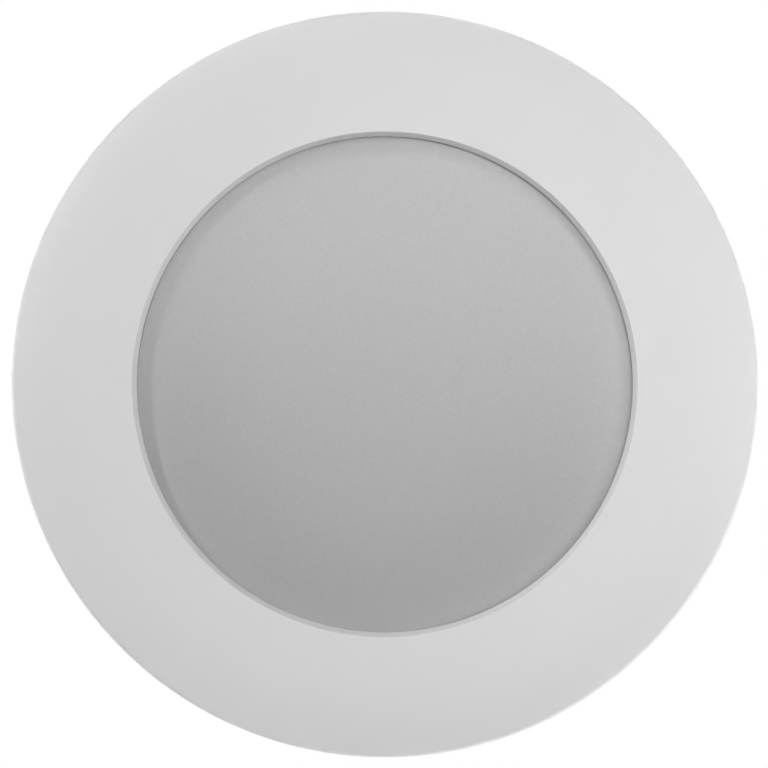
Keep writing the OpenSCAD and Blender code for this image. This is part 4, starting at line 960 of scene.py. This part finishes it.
def pinProfile(s):
    # a straight pin with a rounded head riveted on each end
    middle, rim = s["head"] - s["headRound"], s["end"] - s["headRound"]
    return np.vstack([[[0, -s["end"]]], arcPoints((middle, -rim), s["headRound"], 270, 360, 5),
                      [[s["head"], -s["inner"]], [s["radius"], -s["inner"]], [s["radius"], s["inner"]],
                       [s["head"], s["inner"]]],
                      arcPoints((middle, rim), s["headRound"], 0, 90, 5), [[0, s["end"]]]])


clipScrewSettings = dict(size=3.0, length=5.6, x=26.4, heights=(31.2, 36.9))

for sideName, side, turnDeg in (("right", 1, 0), ("left", -1, 180)):
    clip, screwNode, sleeveNode = sideName + "_clip", sideName + "_bracket_screws", sideName + "_arm_sleeve"
    bracket = joined([bracketShell(bracketSettings), stopTab(bracketSettings)])
    makePiece(sideName + "Bracket", onPivot(bracket, side), nodeSlot[clip + "_bracket"], clip + "_bracket",
              sharp=36)
    pin = moved(turned(pinProfile(pinSettings), pinSettings["steps"]), swap=(1, -3, 2))
    makePiece(sideName + "Pin", onPivot(pin, side), nodeSlot[clip + "_pin"], clip + "_pin")
    screw = panScrew(clipScrewSettings["size"], clipScrewSettings["length"])
    screws = joined([moved(screw, swap=(3, 2, -1), by=(clipScrewSettings["x"], 0, z), turn=turnDeg)
                     for z in clipScrewSettings["heights"]])
    makePiece(sideName + "BracketScrews", screws, nodeSlot[screwNode], screwNode)
    arm = joined([armPlate(armSettings), armEar(armSettings, -1), armEar(armSettings, 1)])
    makePiece(sideName + "Arm", onArm(arm, side), nodeSlot[clip + "_arm"], clip + "_arm", body=clip,
              sharp=36)
    sleeve = onArm(sleeveShell(sleeveSettings), side)
    makePiece(sideName + "Sleeve", sleeve, nodeSlot[sleeveNode], sleeveNode, body=clip)
    coil = onPivot(springShell(springSettings), side)
    spring = makePiece(sideName + "Spring", coil, nodeSlot[clip + "_spring"], clip + "_spring", body=None)
    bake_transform(spring)
print("clips made")

# Camera, lights and surroundings

cameraSettings = dict(lens=150.0, sensor=36.0, frameWidth=92.78, planeZ=-2.0, shiftPixels=(0.76, -0.37),
                      imagePixels=768)


def placeCamera(s):
    # straight below on the downlight's axis; its distance makes the frame as wide as set at the ring's edge
    data = bpy.data.cameras.new("camera")
    camera = bpy.data.objects.new("camera", data)
    bpy.context.scene.collection.objects.link(camera)
    data.lens, data.sensor_width = s["lens"], s["sensor"]
    data.sensor_fit = "HORIZONTAL"
    data.clip_start, data.clip_end = 0.01, 20
    distance = s["frameWidth"] * s["lens"] / s["sensor"]
    camera.location = (0, 0, (s["planeZ"] - distance) * mm)
    camera.rotation_euler = (pi, 0, 0)
    data.shift_x = -s["shiftPixels"][0] / s["imagePixels"]
    data.shift_y = -s["shiftPixels"][1] / s["imagePixels"]
    bpy.context.scene.camera = camera


placeCamera(cameraSettings)

# tilt is off the camera's axis, turn runs from the picture's right towards its top
lightSettings = [
    dict(name="centre", tilt=0, turn=0, distance=0.70, size=0.16, power=0.135),
    dict(name="topRight", tilt=10, turn=45, distance=0.70, size=0.16, power=0.158),
    dict(name="topMiddle", tilt=10, turn=90, distance=0.70, size=0.16, power=0.081),
    dict(name="topLeft", tilt=10, turn=135, distance=0.70, size=0.16, power=0.172),
    dict(name="nearRight", tilt=20, turn=0, distance=0.32, size=0.09, power=0.135),
    dict(name="nearRightLow", tilt=40, turn=0, distance=0.32, size=0.09, power=0.235),
    dict(name="nearTopRight", tilt=40, turn=45, distance=0.32, size=0.09, power=0.090),
    dict(name="topLow", tilt=46, turn=90, distance=0.70, size=0.07, power=0.616),
    dict(name="leftLow", tilt=46, turn=157, distance=0.70, size=0.07, power=0.855),
    dict(name="leftTopLow", tilt=58, turn=135, distance=0.70, size=0.16, power=0.616),
    dict(name="leftGrazing", tilt=82, turn=180, distance=0.70, size=0.16, power=1.522),
    dict(name="bottomRightGrazing", tilt=82, turn=315, distance=0.70, size=0.16, power=0.721),
    dict(name="sideRight", tilt=97, turn=0, distance=0.70, size=0.30, power=0.800),
    dict(name="sideTop", tilt=97, turn=90, distance=0.70, size=0.30, power=0.500),
    dict(name="sideBottom", tilt=99, turn=270, distance=0.70, size=0.50, power=1.500),
    dict(name="sideBottomRight", tilt=99, turn=315, distance=0.70, size=0.60, power=2.000),
    dict(name="backHigh", tilt=140, turn=60, distance=1.00, size=0.90, power=4.000),
    dict(name="frontHigh", tilt=130, turn=200, distance=1.00, size=0.90, power=3.500),
]


def placeLight(s):
    # a round lamp that looks at the frame's origin from the given direction
    tilt, turn = math.radians(s["tilt"]), math.radians(s["turn"])
    towards = Vector((math.sin(tilt) * math.cos(turn), -math.sin(tilt) * math.sin(turn), -math.cos(tilt)))
    data = bpy.data.lights.new(s["name"], "AREA")
    data.shape = "DISK"
    data.size = s["size"]
    data.energy = s["power"]
    light = bpy.data.objects.new(s["name"], data)
    light.location = towards * s["distance"]
    light.rotation_euler = (-towards).to_track_quat("-Z", "Y").to_euler()
    light.visible_camera = False
    bpy.context.scene.collection.objects.link(light)


for lightRow in lightSettings:
    placeLight(lightRow)

worldSettings = dict(overhead=1.0, horizon=0.79, whiteFrom=0.45, whiteTo=0.95, below=0.01, above=0.60,
                     turnFrom=-0.05, turnTo=0.30)


def makeWorld(s):
    # the camera sees plain white overhead, which pales to the floor's tone at the horizon; as light the
    # surroundings are dark below the soffit and bright above it
    world = bpy.data.worlds.new("studio")
    bpy.context.scene.world = world
    world.use_nodes = True
    tree = world.node_tree
    back = tree.nodes["Background"]
    back.inputs["Color"].default_value = (1, 1, 1, 1)
    path = addNode(tree, "ShaderNodeLightPath")
    place = addNode(tree, "ShaderNodeTexCoord")
    split = addNode(tree, "ShaderNodeSeparateXYZ")
    height = addNode(tree, "ShaderNodeMapRange", interpolation_type="SMOOTHSTEP",
                     From_Min=s["turnFrom"], From_Max=s["turnTo"], To_Min=s["below"], To_Max=s["above"])
    shown = addNode(tree, "ShaderNodeMapRange", interpolation_type="SMOOTHSTEP",
                    From_Min=s["whiteFrom"], From_Max=s["whiteTo"], To_Min=s["horizon"], To_Max=s["overhead"])
    choose = addNode(tree, "ShaderNodeMix", data_type="FLOAT")
    link = tree.links.new
    link(place.outputs["Generated"], split.inputs["Vector"])
    link(split.outputs["Z"], height.inputs["Value"])
    link(split.outputs["Z"], shown.inputs["Value"])
    link(shown.outputs["Result"], choose.inputs["B"])
    link(path.outputs["Is Camera Ray"], choose.inputs["Factor"])
    link(height.outputs["Result"], choose.inputs["A"])
    link(choose.outputs["Result"], back.inputs["Strength"])


makeWorld(worldSettings)

floorSettings = dict(z=-1300.0, half=9000.0, ticks=5, shade=(0.80, 0.80, 0.80),
                     second=(0.78, 0.78, 0.78), clouds=3)


def makeFloor(s):
    # a pale floor that shows evenly to the camera and throws no light back up on to the ring's face
    ticks = np.linspace(-s["half"], s["half"], s["ticks"])
    across, along = np.meshgrid(ticks, ticks)
    points = np.column_stack([across.ravel(), along.ravel(), np.full(across.size, s["z"])]) * mm
    mesh = bpy.data.meshes.new("floor")
    mesh.from_pydata(points.tolist(), [], gridFaces(s["ticks"], s["ticks"]).tolist())
    floor = bpy.data.objects.new("floor", mesh)
    bpy.context.scene.collection.objects.link(floor)
    material = bpy.data.materials.new("pale_floor")
    material.use_nodes = True
    tree = material.node_tree
    shader = tree.nodes["Principled BSDF"]
    shader.inputs["Base Color"].default_value = (0, 0, 0, 1)
    shader.inputs["Specular IOR Level"].default_value = 0
    place = addNode(tree, "ShaderNodeTexCoord")
    tone = addNode(tree, "ShaderNodeGroup", node_tree=toneGroup)
    tone.inputs["Colour A"].default_value = (*s["shade"], 1)
    tone.inputs["Colour B"].default_value = (*s["second"], 1)
    tone.inputs["Scale"].default_value = s["clouds"]
    path = addNode(tree, "ShaderNodeLightPath")
    tree.links.new(place.outputs["Object"], tone.inputs["Vector"])
    tree.links.new(tone.outputs["Color"], shader.inputs["Emission Color"])
    tree.links.new(path.outputs["Is Camera Ray"], shader.inputs["Emission Strength"])
    mesh.materials.append(material)


makeFloor(floorSettings)
scene = bpy.context.scene
scene.view_settings.view_transform = "Standard"
scene.view_settings.look = "None"
print("camera, lights and floor placed")
